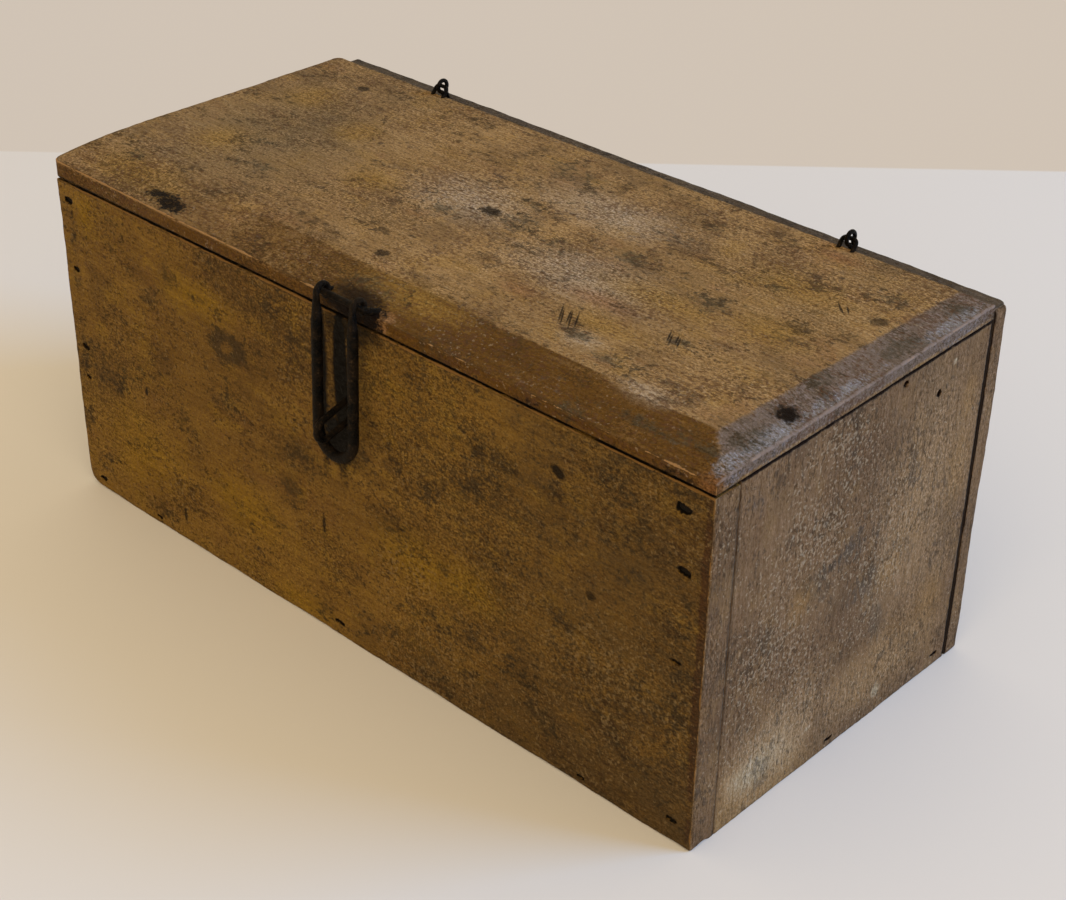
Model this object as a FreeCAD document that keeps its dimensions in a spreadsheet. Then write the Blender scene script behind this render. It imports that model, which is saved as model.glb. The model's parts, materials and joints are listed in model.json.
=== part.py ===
"""Carpenter's tool chest: a nailed box with a loose lid, snipe hinges and a wire hasp.

Frame: X runs along the front from left to right, the front faces -Y, Z is up.
The origin is at the middle of the bottom of the wooden box. Lengths are in millimetres.
"""
import FreeCAD, Part
import math
import os

import Sketcher

Vector = FreeCAD.Vector

# Driving dimensions, written once. Every piece takes its size and place from these.
SIZES = {
    # walls and bottom
    "box_length": 406.0,
    "box_depth": 195.6,
    "front_height": 171.3,
    "front_thick": 14.8,
    "back_thick": 9.9,
    "end_thick": 19.0,
    "bottom_thick": 11.0,
    "end_above_front": 0.7,
    "end_top_rise": 3.9,
    "board_gap": 0.2,
    "end_rear_gap": 1.2,
    "corner_wear": 9.0,
    "back_corner_round": 4.0,
    "arris_round": 1.2,
    # lid
    "lid_front_thick": 11.7,
    "lid_above_back": 3.0,
    "lid_gap": 0.3,
    "lid_rear_gap": 1.2,
    "lid_overhang": 2.0,
    "lid_corner_round": 5.0,
    "lid_rear_corner_round": 4.0,
    "bevel_run_left": 30.0,
    "bevel_run_right": 20.5,
    "bevel_drop_left": 3.4,
    "bevel_drop_right": 7.2,
    "side_bevel_run": 17.5,
    "side_bevel_drop_front": 5.8,
    "side_bevel_drop_rear": 0.8,
    "cut_margin": 1.0,
    # cut nails
    "nail_wide": 6.0,
    "nail_thick": 2.8,
    "nail_tip_wide": 2.4,
    "nail_tip_thick": 1.6,
    "nail_long": 34.0,
    # snipe hinges
    "hinge_place": 127.5,
    "hinge_wire": 2.1,
    "hinge_rise": 4.2,
    "hinge_behind_lid": 1.5,
    "hinge_ring": 3.0,
    "hinge_neck": 1.5,
    "hinge_leg_split": 0.3,
    "hinge_crown": 7.4,
    "hinge_crown_round": 2.2,
    "hinge_lid_slope": 52.0,
    "hinge_box_slope": 69.5,
    "hinge_box_bite": 10.0,
    "hinge_clinch": 9.0,
    "clinch_round": 2.6,
    "clinch_bite": 0.4,
    # hasp and the staple that carries it
    "hasp_place": 4.6,
    "hasp_wire": 4.9,
    "hasp_curl_wire": 2.8,
    "hasp_width": 22.5,
    "hasp_reach": 74.3,
    "hasp_lean": 1.9,
    "hasp_taper": 12.0,
    "hasp_curl_turn": 250.0,
    "hasp_curl_run": 0.6,
    "pin_proud": 0.04,
    "running_gap": 0.35,
    "staple_wire": 3.0,
    "staple_width": 29.0,
    "staple_round": 2.6,
    "staple_stand": 3.7,
    "staple_above_edge": 3.6,
    "staple_slope": 23.0,
    "staple_clinch": 9.0,
    # lock staple
    "lock_wire": 3.0,
    "lock_width": 10.0,
    "lock_reach": 22.0,
    "lock_below_rim": 42.7,
    "lock_droop": 17.6,
    "lock_clinch": 9.0,
}

# Heights that follow from the driving dimensions, as cells of the same sheet.
DERIVED = {
    "end_top_front": "=front_height + end_above_front",
    "lid_top": "=end_top_front + lid_gap + lid_front_thick",
    "back_height": "=lid_top - lid_above_back",
    "lock_height": "=front_height - lock_below_rim",
}

# Hammered wire has this many flat sides, and each of its bends is a run of chords this many degrees apart.
WIRE_SIDES = 12
BEND_STEP = 15.0

# Columns of nails that hold the front and back to the ends: the face, the corner's side, and for
# each nail its share of the end's thickness, from the corner, and its share of the face's height.
NAIL_COLUMNS = {
    "nails_front_left": ("front", -1, [(0.426, 0.946), (0.479, 0.734), (0.463, 0.483), (0.463, 0.379),
                                       (0.632, 0.036)]),
    "nails_front_right": ("front", 1, [(0.779, 0.936), (0.642, 0.778), (0.732, 0.526), (0.558, 0.066)]),
    "nails_back_left": ("back", -1, [(0.500, 0.884), (0.421, 0.652), (0.537, 0.398), (0.474, 0.133)]),
    "nails_back_right": ("back", 1, [(0.526, 0.873), (0.442, 0.635), (0.547, 0.387), (0.474, 0.144)]),
}

# Rows of nails that hold the bottom: the face, and for each nail its share of the face's length
# from the middle and its share of the bottom's thickness.
NAIL_ROWS = {
    "nails_front_bottom": ("front", [(-0.356, 0.33), (-0.021, 0.70), (0.351, 0.38)]),
    "nails_back_bottom": ("back", [(-0.340, 0.48), (0.010, 0.54), (0.345, 0.46)]),
    "nails_left_end_bottom": ("left", [(-0.164, 0.50), (0.235, 0.45)]),
    "nails_right_end_bottom": ("right", [(-0.019, 0.40), (0.397, 0.58)]),
}

# The planes of the walls, as expressions.
FRONT_FACE = "(-Sizes.box_depth / 2)"
FRONT_INNER = "(-Sizes.box_depth / 2 + Sizes.front_thick)"
BACK_FACE = "(Sizes.box_depth / 2)"
BACK_INNER = "(Sizes.box_depth / 2 - Sizes.back_thick)"
LEFT_FACE = "(-Sizes.box_length / 2)"
RIGHT_FACE = "(Sizes.box_length / 2)"
LID_LEFT = "(-Sizes.box_length / 2 - Sizes.lid_overhang)"
LID_REAR = "(Sizes.box_depth / 2 - Sizes.back_thick - Sizes.lid_rear_gap)"

# How each face's nails turn about Z, so that they point into the box.
NAIL_TURNS = {"front": 0.0, "left": -90.0, "back": 180.0, "right": 90.0}


def rim_line(depth):
    """Height of the sloping rim of the end boards at a place across the box, as an expression."""
    run = f"({BACK_INNER} - {FRONT_FACE})"
    return f"(Sizes.end_top_front + Sizes.end_top_rise * ({depth} - {FRONT_FACE}) / {run})"


def make_sheet(doc):
    """Write the driving and the derived dimensions to the spreadsheet, one named cell each."""
    sheet = doc.addObject("Spreadsheet::Sheet", "Sizes")
    cells = {**SIZES, **DERIVED}
    for row, (name, value) in enumerate(cells.items(), start=1):
        sheet.set(f"A{row}", name)
        sheet.set(f"B{row}", str(value))
        sheet.setAlias(f"B{row}", name)
    doc.recompute()
    return sheet


def bind(item, settings):
    """Bind properties of an object to expressions."""
    for name, expression in settings.items():
        item.setExpression(name, expression)


# ---------------------------------------------------------------- sketches and boards

def origin_plane(body, role):
    """Find one of a body's own origin planes."""
    return next(item for item in body.Origin.OriginFeatures if item.Role == role)


def polygon_sketch(body, name, role, offset, corners):
    """Sketch a closed polygon whose corners are pairs of expressions, on an offset origin plane."""
    sketch = body.newObject("Sketcher::SketchObject", name)
    sketch.AttachmentSupport = [(origin_plane(body, role), "")]
    sketch.MapMode = "FlatFace"
    sketch.setExpression("AttachmentOffset.Base.z", offset)
    count = len(corners)
    turns = [2 * math.pi * index / count for index in range(count)]
    ring = [Vector(math.cos(turn), math.sin(turn), 0) for turn in turns]
    for index in range(count):
        sketch.addGeometry(Part.LineSegment(ring[index], ring[(index + 1) % count]))
    for index in range(count):
        sketch.addConstraint(Sketcher.Constraint("Coincident", index, 2, (index + 1) % count, 1))
    for index, corner in enumerate(corners):
        for axis, expression in zip(("DistanceX", "DistanceY"), corner):
            start = ring[index].x if axis == "DistanceX" else ring[index].y
            number = sketch.addConstraint(Sketcher.Constraint(axis, -1, 1, index, 1, start))
            sketch.setExpression(f"Constraints[{number}]", expression)
    return sketch


def pad(body, name, sketch, length):
    """Pad a sketch along its plane's normal by an expression."""
    feature = body.newObject("PartDesign::Pad", name)
    feature.Profile = sketch
    feature.setExpression("Length", length)
    body.Document.recompute()
    return feature


def fillet(body, name, base, wanted, radius):
    """Round the edges whose end points all pass a test."""
    names = []
    for number, edge in enumerate(base.Shape.Edges, start=1):
        if wanted([vertex.Point for vertex in edge.Vertexes]):
            names.append(f"Edge{number}")
    feature = body.newObject("PartDesign::Fillet", name)
    feature.Base = (base, names)
    feature.setExpression("Radius", radius)
    body.Document.recompute()
    return feature


def near(first, second):
    """Whether two coordinates are the same."""
    return abs(first - second) < 1e-4


def make_front_board(doc, sizes):
    """The front board: full length, lapped over the ends, with one bottom corner worn round."""
    body = doc.addObject("PartDesign::Body", "FrontBoard")
    corners = [(LEFT_FACE, "0"), (RIGHT_FACE, "0"), (RIGHT_FACE, "Sizes.front_height"),
               (LEFT_FACE, "Sizes.front_height")]
    outline = polygon_sketch(body, "FrontOutline", "XZ_Plane", f"-{FRONT_INNER}", corners)
    board = pad(body, "FrontPad", outline, "Sizes.front_thick")
    left, face, rim = -sizes.box_length / 2, -sizes.box_depth / 2, sizes.front_height
    worn = fillet(body, "FrontWornCorner", board,
                  lambda ends: all(near(p.x, left) and near(p.z, 0) for p in ends), "Sizes.corner_wear")
    fillet(body, "FrontArrises", worn,
           lambda ends: all(near(p.y, face) for p in ends) and not all(near(p.z, rim) for p in ends),
           "Sizes.arris_round")
    return body


def make_back_board(doc, sizes):
    """The back board: thinner and taller than the front, with its top corners worn round."""
    body = doc.addObject("PartDesign::Body", "BackBoard")
    corners = [(LEFT_FACE, "0"), (RIGHT_FACE, "0"), (RIGHT_FACE, "Sizes.back_height"),
               (LEFT_FACE, "Sizes.back_height")]
    outline = polygon_sketch(body, "BackOutline", "XZ_Plane", f"-{BACK_FACE}", corners)
    board = pad(body, "BackPad", outline, "Sizes.back_thick")
    face, top = sizes.box_depth / 2, sizes.back_height
    worn = fillet(body, "BackTopCorners", board,
                  lambda ends: all(near(p.z, top) for p in ends) and near(ends[0].x, ends[1].x),
                  "Sizes.back_corner_round")
    fillet(body, "BackArrises", worn, lambda ends: all(near(p.y, face) for p in ends), "Sizes.arris_round")
    return body


def make_end_board(doc, sizes, name, offset, side):
    """An end board: it stands between front and back, and its rim rises towards the back."""
    body = doc.addObject("PartDesign::Body", name)
    fore = f"({FRONT_INNER} + Sizes.board_gap)"
    rear = f"({BACK_INNER} - Sizes.end_rear_gap)"
    corners = [(fore, "0"), (rear, "0"), (rear, rim_line(rear)), (fore, rim_line(fore))]
    outline = polygon_sketch(body, name + "Outline", "YZ_Plane", offset, corners)
    board = pad(body, name + "Pad", outline, "Sizes.end_thick")
    face = side * sizes.box_length / 2
    fillet(body, name + "Foot", board,
           lambda ends: all(near(p.x, face) and near(p.z, 0) for p in ends), "Sizes.arris_round")
    return body


def make_bottom_board(doc):
    """The bottom, set in between the walls."""
    board = doc.addObject("Part::Box", "BottomBoard")
    inside = "Sizes.box_length - 2 * Sizes.end_thick - 2 * Sizes.board_gap"
    bind(board, {
        "Length": inside,
        "Width": f"{BACK_INNER} - {FRONT_INNER} - 2 * Sizes.board_gap",
        "Height": "Sizes.bottom_thick",
        "Placement.Base.x": f"-({inside}) / 2",
        "Placement.Base.y": f"{FRONT_INNER} + Sizes.board_gap",
    })
    return board


def wedge_cut(body, name, role, ends):
    """Plane a bevel off the lid: a ruled cut between two triangles, one past each end of the edge.

    Each end is the plane's offset, the edge's place, the outward side, the bevel's run and its drop.
    """
    sketches = []
    for number, (offset, edge, side, run, drop) in enumerate(ends):
        inner = f"({edge} - {side} * {run})"
        outer = f"({edge} + {side} * Sizes.cut_margin)"
        low = f"(Sizes.lid_top - {drop} - {drop} / {run} * Sizes.cut_margin)"
        over = "(Sizes.lid_top + Sizes.cut_margin)"
        corners = [(inner, "Sizes.lid_top"), (outer, low), (outer, over), (inner, over)]
        sketches.append(polygon_sketch(body, f"{name}Section{number}", role, offset, corners))
    body.Document.recompute()
    cut = body.newObject("PartDesign::SubtractiveLoft", name)
    cut.Profile = sketches[0]
    cut.Sections = sketches[1:]
    cut.Ruled = True
    body.Document.recompute()
    return cut


def make_lid_board(doc, sizes):
    """The lid: one board, thicker at the front, with hand-planed bevels along its front and right."""
    body = doc.addObject("PartDesign::Body", "LidBoard")
    under_front = f"({rim_line(FRONT_FACE)} + Sizes.lid_gap)"
    under_rear = f"({rim_line(LID_REAR)} + Sizes.lid_gap)"
    corners = [(FRONT_FACE, under_front), (LID_REAR, under_rear), (LID_REAR, "Sizes.lid_top"),
               (FRONT_FACE, "Sizes.lid_top")]
    outline = polygon_sketch(body, "LidOutline", "YZ_Plane", LID_LEFT, corners)
    pad(body, "LidPad", outline, f"{RIGHT_FACE} - {LID_LEFT}")
    wedge_cut(body, "LidFrontBevel", "YZ_Plane", [
        (f"{LID_LEFT} - Sizes.cut_margin", FRONT_FACE, -1, "Sizes.bevel_run_left", "Sizes.bevel_drop_left"),
        (f"{RIGHT_FACE} + Sizes.cut_margin", FRONT_FACE, -1, "Sizes.bevel_run_right",
         "Sizes.bevel_drop_right"),
    ])
    bevelled = wedge_cut(body, "LidRightBevel", "XZ_Plane", [
        (f"-({FRONT_FACE} - Sizes.cut_margin)", RIGHT_FACE, 1, "Sizes.side_bevel_run",
         "Sizes.side_bevel_drop_front"),
        (f"-({LID_REAR} + Sizes.cut_margin)", RIGHT_FACE, 1, "Sizes.side_bevel_run",
         "Sizes.side_bevel_drop_rear"),
    ])
    left, face = -sizes.box_length / 2 - sizes.lid_overhang, -sizes.box_depth / 2
    rear = sizes.box_depth / 2 - sizes.back_thick - sizes.lid_rear_gap
    worn = fillet(body, "LidWornCorner", bevelled,
                  lambda ends: all(near(p.x, left) and near(p.y, face) for p in ends),
                  "Sizes.lid_corner_round")
    fillet(body, "LidRearCorner", worn,
           lambda ends: all(near(p.x, left) and near(p.y, rear) for p in ends),
           "Sizes.lid_rear_corner_round")
    return body


# ---------------------------------------------------------------- nails

def make_nail(doc, name, turn, places):
    """One cut nail: a wedge lying flat along the grain, its head flush with the wood."""
    nail = doc.addObject("Part::Wedge", name)
    nail.Placement = FreeCAD.Placement(Vector(), FreeCAD.Rotation(Vector(0, 0, 1), turn))
    bind(nail, {
        "Xmin": "-Sizes.nail_wide / 2",
        "Xmax": "Sizes.nail_wide / 2",
        "Zmin": "-Sizes.nail_thick / 2",
        "Zmax": "Sizes.nail_thick / 2",
        "X2min": "-Sizes.nail_tip_wide / 2",
        "X2max": "Sizes.nail_tip_wide / 2",
        "Z2min": "-Sizes.nail_tip_thick / 2",
        "Z2max": "Sizes.nail_tip_thick / 2",
        "Ymax": "Sizes.nail_long",
    })
    nail.Ymin = 0
    bind(nail, {f"Placement.Base.{axis}": place for axis, place in zip("xyz", places)})
    return nail


def make_nails(doc):
    """Every group of nails, keyed by its node."""
    groups = {}
    faces = {"front": FRONT_FACE, "back": BACK_FACE, "left": LEFT_FACE, "right": RIGHT_FACE}
    heights = {"front": "Sizes.front_height", "back": "Sizes.back_height"}
    for label, (face, side, nails) in NAIL_COLUMNS.items():
        groups[label] = []
        for number, (inset, share) in enumerate(nails, start=1):
            column = f"{side} * (Sizes.box_length / 2 - {inset} * Sizes.end_thick)"
            places = (column, faces[face], f"{share} * {heights[face]}")
            groups[label].append(make_nail(doc, f"{label}_{number}", NAIL_TURNS[face], places))
    for label, (face, nails) in NAIL_ROWS.items():
        groups[label] = []
        for number, (along, share) in enumerate(nails, start=1):
            height = f"{share} * Sizes.bottom_thick"
            places = (f"{along} * Sizes.box_length", faces[face], height)
            if face in ("left", "right"):
                places = (faces[face], f"{along} * Sizes.box_depth", height)
            groups[label].append(make_nail(doc, f"{label}_{number}", NAIL_TURNS[face], places))
    nodes = {}
    for label, nails in groups.items():
        group = doc.addObject("Part::Compound", label.title().replace("_", ""))
        group.Links = nails
        group.Label = label
        nodes[label] = group
    return nodes


# ---------------------------------------------------------------- wire work

def arc_points(centre, start, side, turn):
    """Points along an arc: it leaves the centre's start vector towards the side vector."""
    count = max(2, math.ceil(turn / math.radians(BEND_STEP)))
    angles = [turn * index / count for index in range(count + 1)]
    return [centre + start * math.cos(angle) + side * math.sin(angle) for angle in angles]


def bent_line(corners, bends):
    """Points along a wire: straight runs between its corners, each inner corner bent to a radius."""
    points = [corners[0]]
    for before, corner, after, bend in zip(corners, corners[1:], corners[2:], bends):
        inward = (corner - before).normalize()
        outward = (after - corner).normalize()
        turn = inward.getAngle(outward)
        aside = inward.cross(outward).cross(inward).normalize()
        first = corner - inward * bend * math.tan(turn / 2)
        points += arc_points(first + aside * bend, aside * -bend, inward * bend, turn)
    points.append(corners[-1])
    return [point for point, last in zip(points, [corners[0] - corners[1]] + points)
            if point.distanceToPoint(last) > 1e-6]


def flat_face(corners):
    """A flat face between corners."""
    return Part.Face(Part.makePolygon(corners + corners[:1]))


def wire_bar(points, diameters):
    """Hammered iron along a line of points: flat sides, mitred where the line bends."""
    ways = [(after - before).normalize() for before, after in zip(points, points[1:])]
    across = ways[0].cross(Vector(1, 0, 0) if abs(ways[0].x) < 0.5 else Vector(0, 0, 1)).normalize()
    over = ways[0].cross(across)
    turns = [2 * math.pi * index / WIRE_SIDES for index in range(WIRE_SIDES)]
    spokes = [(across * math.cos(turn) + over * math.sin(turn)) * (diameters[0] / 2) for turn in turns]
    rings = [[points[0] + spoke for spoke in spokes]]
    for index, way in enumerate(ways, start=1):
        mitre = way + ways[min(index, len(ways) - 1)]
        grown = [spoke * (diameters[index] / diameters[index - 1]) for spoke in spokes]
        spokes = [spoke - way * (spoke.dot(mitre) / way.dot(mitre)) for spoke in grown]
        rings.append([points[index] + spoke for spoke in spokes])
    faces = [flat_face(rings[0]), flat_face(rings[-1])]
    for ring, after in zip(rings, rings[1:]):
        for side in range(WIRE_SIDES):
            beside = (side + 1) % WIRE_SIDES
            faces.append(flat_face([ring[side], ring[beside], after[beside], after[side]]))
    bar = Part.Solid(Part.Shell(faces))
    return bar if bar.Volume > 0 else bar.reversed()


def scaled(point, factors):
    """A point with each coordinate multiplied by a factor."""
    return Vector(point.x * factors.x, point.y * factors.y, point.z * factors.z)


def add_wire_piece(doc, label, shape, base, rotation=FreeCAD.Rotation()):
    """Put a wire piece, made about its own origin, in its place."""
    piece = doc.addObject("Part::Feature", label.title().replace("_", ""))
    piece.Shape = shape
    piece.Placement = FreeCAD.Placement(base, rotation)
    piece.Label = label
    return piece


def slope_of_rim(sizes):
    """Rise of the lid's underside for each millimetre towards the back."""
    return sizes.end_top_rise / (sizes.box_depth - sizes.back_thick)


def underside(sizes, depth):
    """Height of the lid's underside at a place across the box."""
    return sizes.end_top_front + sizes.lid_gap + slope_of_rim(sizes) * (depth + sizes.box_depth / 2)


def meet_underside(sizes, start, direction, drop):
    """How far along a slanting leg it meets a line that lies a drop below the lid's underside."""
    slope = slope_of_rim(sizes)
    height = underside(sizes, start.y) - drop
    return (height - start.z) / (direction.z - slope * direction.y)


def lid_staple(sizes, width, corner, wire, crown, leg, clinch_side, clinch):
    """A staple through the lid, its ends clinched underneath: the crown along X is a round pin."""
    drop = wire / 2 - sizes.clinch_bite
    reach = meet_underside(sizes, crown, leg, drop)
    run = Vector(0, 1, slope_of_rim(sizes)).normalize() * clinch_side
    half = Vector(width / 2, 0, 0)
    exits = leg * reach
    ends = exits + run * clinch
    corners = [ends - half, exits - half, -half, half, exits + half, ends + half]
    line = bent_line(corners, [sizes.clinch_round, corner, corner, sizes.clinch_round])
    pin = Vector(width / 2 - corner, 0, 0)
    crown_pin = Part.makeCylinder(wire / 2 + sizes.pin_proud, 2 * pin.x, -pin, Vector(1, 0, 0))
    return wire_bar(line, [wire] * len(line)).fuse(crown_pin)


def hinge_axis(sizes, side):
    """Middle of one hinge's axis: just behind the lid's rear edge and above its top."""
    lid_rear = sizes.box_depth / 2 - sizes.back_thick - sizes.lid_rear_gap
    return Vector(side * sizes.hinge_place, lid_rear + sizes.hinge_behind_lid,
                  sizes.lid_top + sizes.hinge_rise)


def make_hinge_lid_eye(doc, sizes, label, side):
    """The lid's half of a snipe hinge: its crown is the pintle that the lid turns on."""
    crown = hinge_axis(sizes, side)
    slope = math.radians(sizes.hinge_lid_slope)
    leg = Vector(0, -math.cos(slope), -math.sin(slope))
    shape = lid_staple(sizes, sizes.hinge_crown, sizes.hinge_crown_round, sizes.hinge_wire, crown, leg,
                       -1, sizes.hinge_clinch)
    return add_wire_piece(doc, label, shape, crown)


def make_hinge_box_eye(doc, sizes, label, side):
    """The box's half of a snipe hinge: a ring round the pintle, its legs driven into the back board."""
    crown = hinge_axis(sizes, side)
    slope = math.radians(sizes.hinge_box_slope)
    down = Vector(0, math.cos(slope), -math.sin(slope))
    across = Vector(0, math.sin(slope), math.cos(slope))
    ring, neck = sizes.hinge_ring, sizes.hinge_neck
    leg = (sizes.hinge_wire + sizes.hinge_leg_split) / 2
    fall = math.sqrt((ring + neck) ** 2 - (leg + neck) ** 2)
    lean = math.atan2(fall, leg + neck)
    tip = (crown.z - sizes.back_height) / math.sin(slope) + sizes.hinge_box_bite
    centre = across * (leg + neck) + down * fall
    touch = centre * (ring / (ring + neck))
    along = across * (ring * math.sin(lean)) - down * (ring * math.cos(lean))
    half = [across * leg + down * tip]
    half += arc_points(centre, across * -neck, down * -neck, lean)
    half += arc_points(Vector(), touch, along, lean + math.pi / 2)[1:]
    mirrored = [point - across * (2 * point.dot(across)) for point in reversed(half[:-1])]
    line = half + mirrored
    shape = wire_bar(line, [sizes.hinge_wire] * len(line))
    return add_wire_piece(doc, label, shape, crown)


def lid_edge_height(sizes, place):
    """Height of the lower arris of the lid's front bevel at a place along the lid."""
    left = -sizes.box_length / 2 - sizes.lid_overhang
    share = (place - left) / (sizes.box_length / 2 - left)
    return sizes.lid_top - sizes.bevel_drop_left - share * (sizes.bevel_drop_right - sizes.bevel_drop_left)


def hasp_axis(sizes):
    """Middle of the hasp's axis, which is the crown of its staple."""
    height = lid_edge_height(sizes, sizes.hasp_place) + sizes.staple_above_edge
    return Vector(sizes.hasp_place, -sizes.box_depth / 2 - sizes.staple_stand, height)


def make_hasp_staple(doc, sizes):
    """The wide staple through the lid's front edge, which carries the hasp."""
    crown = hasp_axis(sizes)
    slope = math.radians(sizes.staple_slope)
    leg = Vector(0, math.cos(slope), -math.sin(slope))
    shape = lid_staple(sizes, sizes.staple_width, sizes.staple_round, sizes.staple_wire, crown, leg,
                       1, sizes.staple_clinch)
    return add_wire_piece(doc, "hasp_staple", shape, crown)


def make_hasp(doc, sizes):
    """The hasp: one bar bent into a long loop, its thinned ends curled round the staple's crown."""
    curl = sizes.staple_wire / 2 + sizes.running_gap + sizes.hasp_curl_wire / 2
    half = sizes.hasp_width / 2
    top = Vector(half, -curl, 0)
    turn = math.radians(sizes.hasp_curl_turn)
    curled = arc_points(Vector(half, 0, 0), Vector(0, -curl, 0), Vector(0, 0, curl), turn)
    neck = top - Vector(0, 0, sizes.hasp_curl_run)
    shoulder = top - Vector(0, 0, sizes.hasp_taper)
    bend = Vector(half, -curl, -sizes.hasp_reach)
    mirror = Vector(-1, 1, 1)
    corners = [scaled(shoulder, mirror), scaled(bend, mirror), bend, shoulder]
    loop = bent_line(corners, [half, half])
    ending = [neck] + curled
    line = [scaled(point, mirror) for point in reversed(ending)] + loop + ending
    thin = [sizes.hasp_curl_wire] * len(ending)
    shape = wire_bar(line, thin + [sizes.hasp_wire] * len(loop) + thin)
    lean = FreeCAD.Rotation(Vector(1, 0, 0), -sizes.hasp_lean)
    return add_wire_piece(doc, "hasp", shape, hasp_axis(sizes), lean)


def make_lock_staple(doc, sizes):
    """The lock staple: an upright eye through the front board, drooping, its legs clinched inside."""
    face = Vector(sizes.hasp_place, -sizes.box_depth / 2, sizes.lock_height)
    droop = math.radians(sizes.lock_droop)
    inward = Vector(0, math.cos(droop), math.sin(droop))
    across = Vector(0, -math.sin(droop), math.cos(droop)) * (sizes.lock_width / 2)
    tip = inward * -(sizes.lock_reach - sizes.lock_wire / 2)
    grip = sizes.front_thick + sizes.lock_wire / 2 - sizes.clinch_bite

    def leave(side):
        """Where a leg turns along the inner face of the front board."""
        start = across * side
        return start + inward * ((grip - start.y) / inward.y)

    end = Vector(0, 0, sizes.lock_clinch)
    corners = [leave(1) + end, leave(1), tip + across, tip - across, leave(-1), leave(-1) - end]
    crown = sizes.lock_width / 2
    line = bent_line(corners, [sizes.clinch_round, crown, crown, sizes.clinch_round])
    shape = wire_bar(line, [sizes.lock_wire] * len(line))
    return add_wire_piece(doc, "lock_staple", shape, face)


# ---------------------------------------------------------------- assembly

def bored(doc, label, board, tools):
    """A board with the holes of what is driven through it."""
    holes = doc.addObject("Part::Compound", board.Name + "Holes")
    holes.Links = tools
    piece = doc.addObject("Part::Cut", board.Name + "Bored")
    piece.Base = board
    piece.Tool = holes
    piece.Label = label
    return piece


def build(doc):
    """Make every node of the chest."""
    sizes = make_sheet(doc)
    nodes = make_nails(doc)
    for side, word in ((-1, "left"), (1, "right")):
        for part, make in (("lid_eye", make_hinge_lid_eye), ("box_eye", make_hinge_box_eye)):
            label = f"hinge_{word}_{part}"
            nodes[label] = make(doc, sizes, label, side)
    nodes["hasp_staple"] = make_hasp_staple(doc, sizes)
    nodes["hasp"] = make_hasp(doc, sizes)
    nodes["lock_staple"] = make_lock_staple(doc, sizes)
    doc.recompute()

    front = make_front_board(doc, sizes)
    back = make_back_board(doc, sizes)
    left = make_end_board(doc, sizes, "LeftEnd", LEFT_FACE, -1)
    right = make_end_board(doc, sizes, "RightEnd", f"{RIGHT_FACE} - Sizes.end_thick", 1)
    bottom = make_bottom_board(doc)
    lid = make_lid_board(doc, sizes)
    holes = {
        "front_board": (front, ["nails_front_left", "nails_front_right", "nails_front_bottom",
                                "lock_staple"]),
        "back_board": (back, ["nails_back_left", "nails_back_right", "nails_back_bottom",
                              "hinge_left_box_eye", "hinge_right_box_eye"]),
        "left_end": (left, ["nails_front_left", "nails_back_left", "nails_left_end_bottom"]),
        "right_end": (right, ["nails_front_right", "nails_back_right", "nails_right_end_bottom"]),
        "bottom_board": (bottom, ["nails_front_bottom", "nails_back_bottom", "nails_left_end_bottom",
                                  "nails_right_end_bottom"]),
        "lid_board": (lid, ["hinge_left_lid_eye", "hinge_right_lid_eye", "hasp_staple"]),
    }
    for label, (board, tools) in holes.items():
        nodes[label] = bored(doc, label, board, [nodes[tool] for tool in tools])
    doc.recompute()
    return nodes


def check(doc, nodes):
    """Stop if any object failed, or a node's shape is empty or broken."""
    for item in doc.Objects:
        if "Invalid" in item.State or "Error" in item.State:
            raise RuntimeError(f"{item.Label} failed: {item.State}")
    for label, item in nodes.items():
        if item.Shape.isNull() or not item.Shape.isValid() or not item.Shape.Solids:
            raise RuntimeError(f"{label} has no sound shape")


def export(nodes):
    """Write one STEP file for each node."""
    os.makedirs("parts", exist_ok=True)
    for label, item in nodes.items():
        item.Shape.exportStep(f"parts/{label}.step")
        print(f"{label}: {len(item.Shape.Solids)} solid(s), {item.Shape.Volume:.1f} mm3")


document = FreeCAD.newDocument("ToolChest")
chest = build(document)
check(document, chest)
export(chest)
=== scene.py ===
"""Carpenter's tool chest: worn painted boards, cut nails, snipe hinges, wire hasp and lock staple.

Everything is in metres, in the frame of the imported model: X along the front, the front faces -Y, Z up,
origin at the middle of the bottom of the wooden box. Marks and distances from a side are in millimetres.
"""

import json
import logging
import math
from collections.abc import Iterable, Sequence
from dataclasses import dataclass, field
from enum import Enum, IntEnum

import bmesh
import bpy
import numpy as np
from mathutils import Matrix, Vector


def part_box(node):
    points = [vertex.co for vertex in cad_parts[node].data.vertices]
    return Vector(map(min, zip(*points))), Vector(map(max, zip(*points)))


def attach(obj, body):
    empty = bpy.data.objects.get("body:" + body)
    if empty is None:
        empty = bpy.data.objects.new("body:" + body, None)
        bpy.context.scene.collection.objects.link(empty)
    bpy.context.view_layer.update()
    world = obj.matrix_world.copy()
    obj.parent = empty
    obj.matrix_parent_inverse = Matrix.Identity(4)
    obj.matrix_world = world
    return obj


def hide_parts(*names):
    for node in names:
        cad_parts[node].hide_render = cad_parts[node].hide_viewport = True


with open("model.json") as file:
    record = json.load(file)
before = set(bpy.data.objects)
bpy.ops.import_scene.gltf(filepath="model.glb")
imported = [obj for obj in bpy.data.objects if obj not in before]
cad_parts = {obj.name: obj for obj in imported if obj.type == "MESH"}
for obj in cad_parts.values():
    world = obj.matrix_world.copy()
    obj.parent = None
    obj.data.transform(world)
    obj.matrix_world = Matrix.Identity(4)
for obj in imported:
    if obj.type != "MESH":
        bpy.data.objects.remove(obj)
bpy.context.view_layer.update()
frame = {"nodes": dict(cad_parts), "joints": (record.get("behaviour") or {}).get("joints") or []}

LOG = logging.getLogger("tool_chest")
MM = 0.001

Colour = tuple[float, float, float]
Socket = bpy.types.NodeSocket


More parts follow.
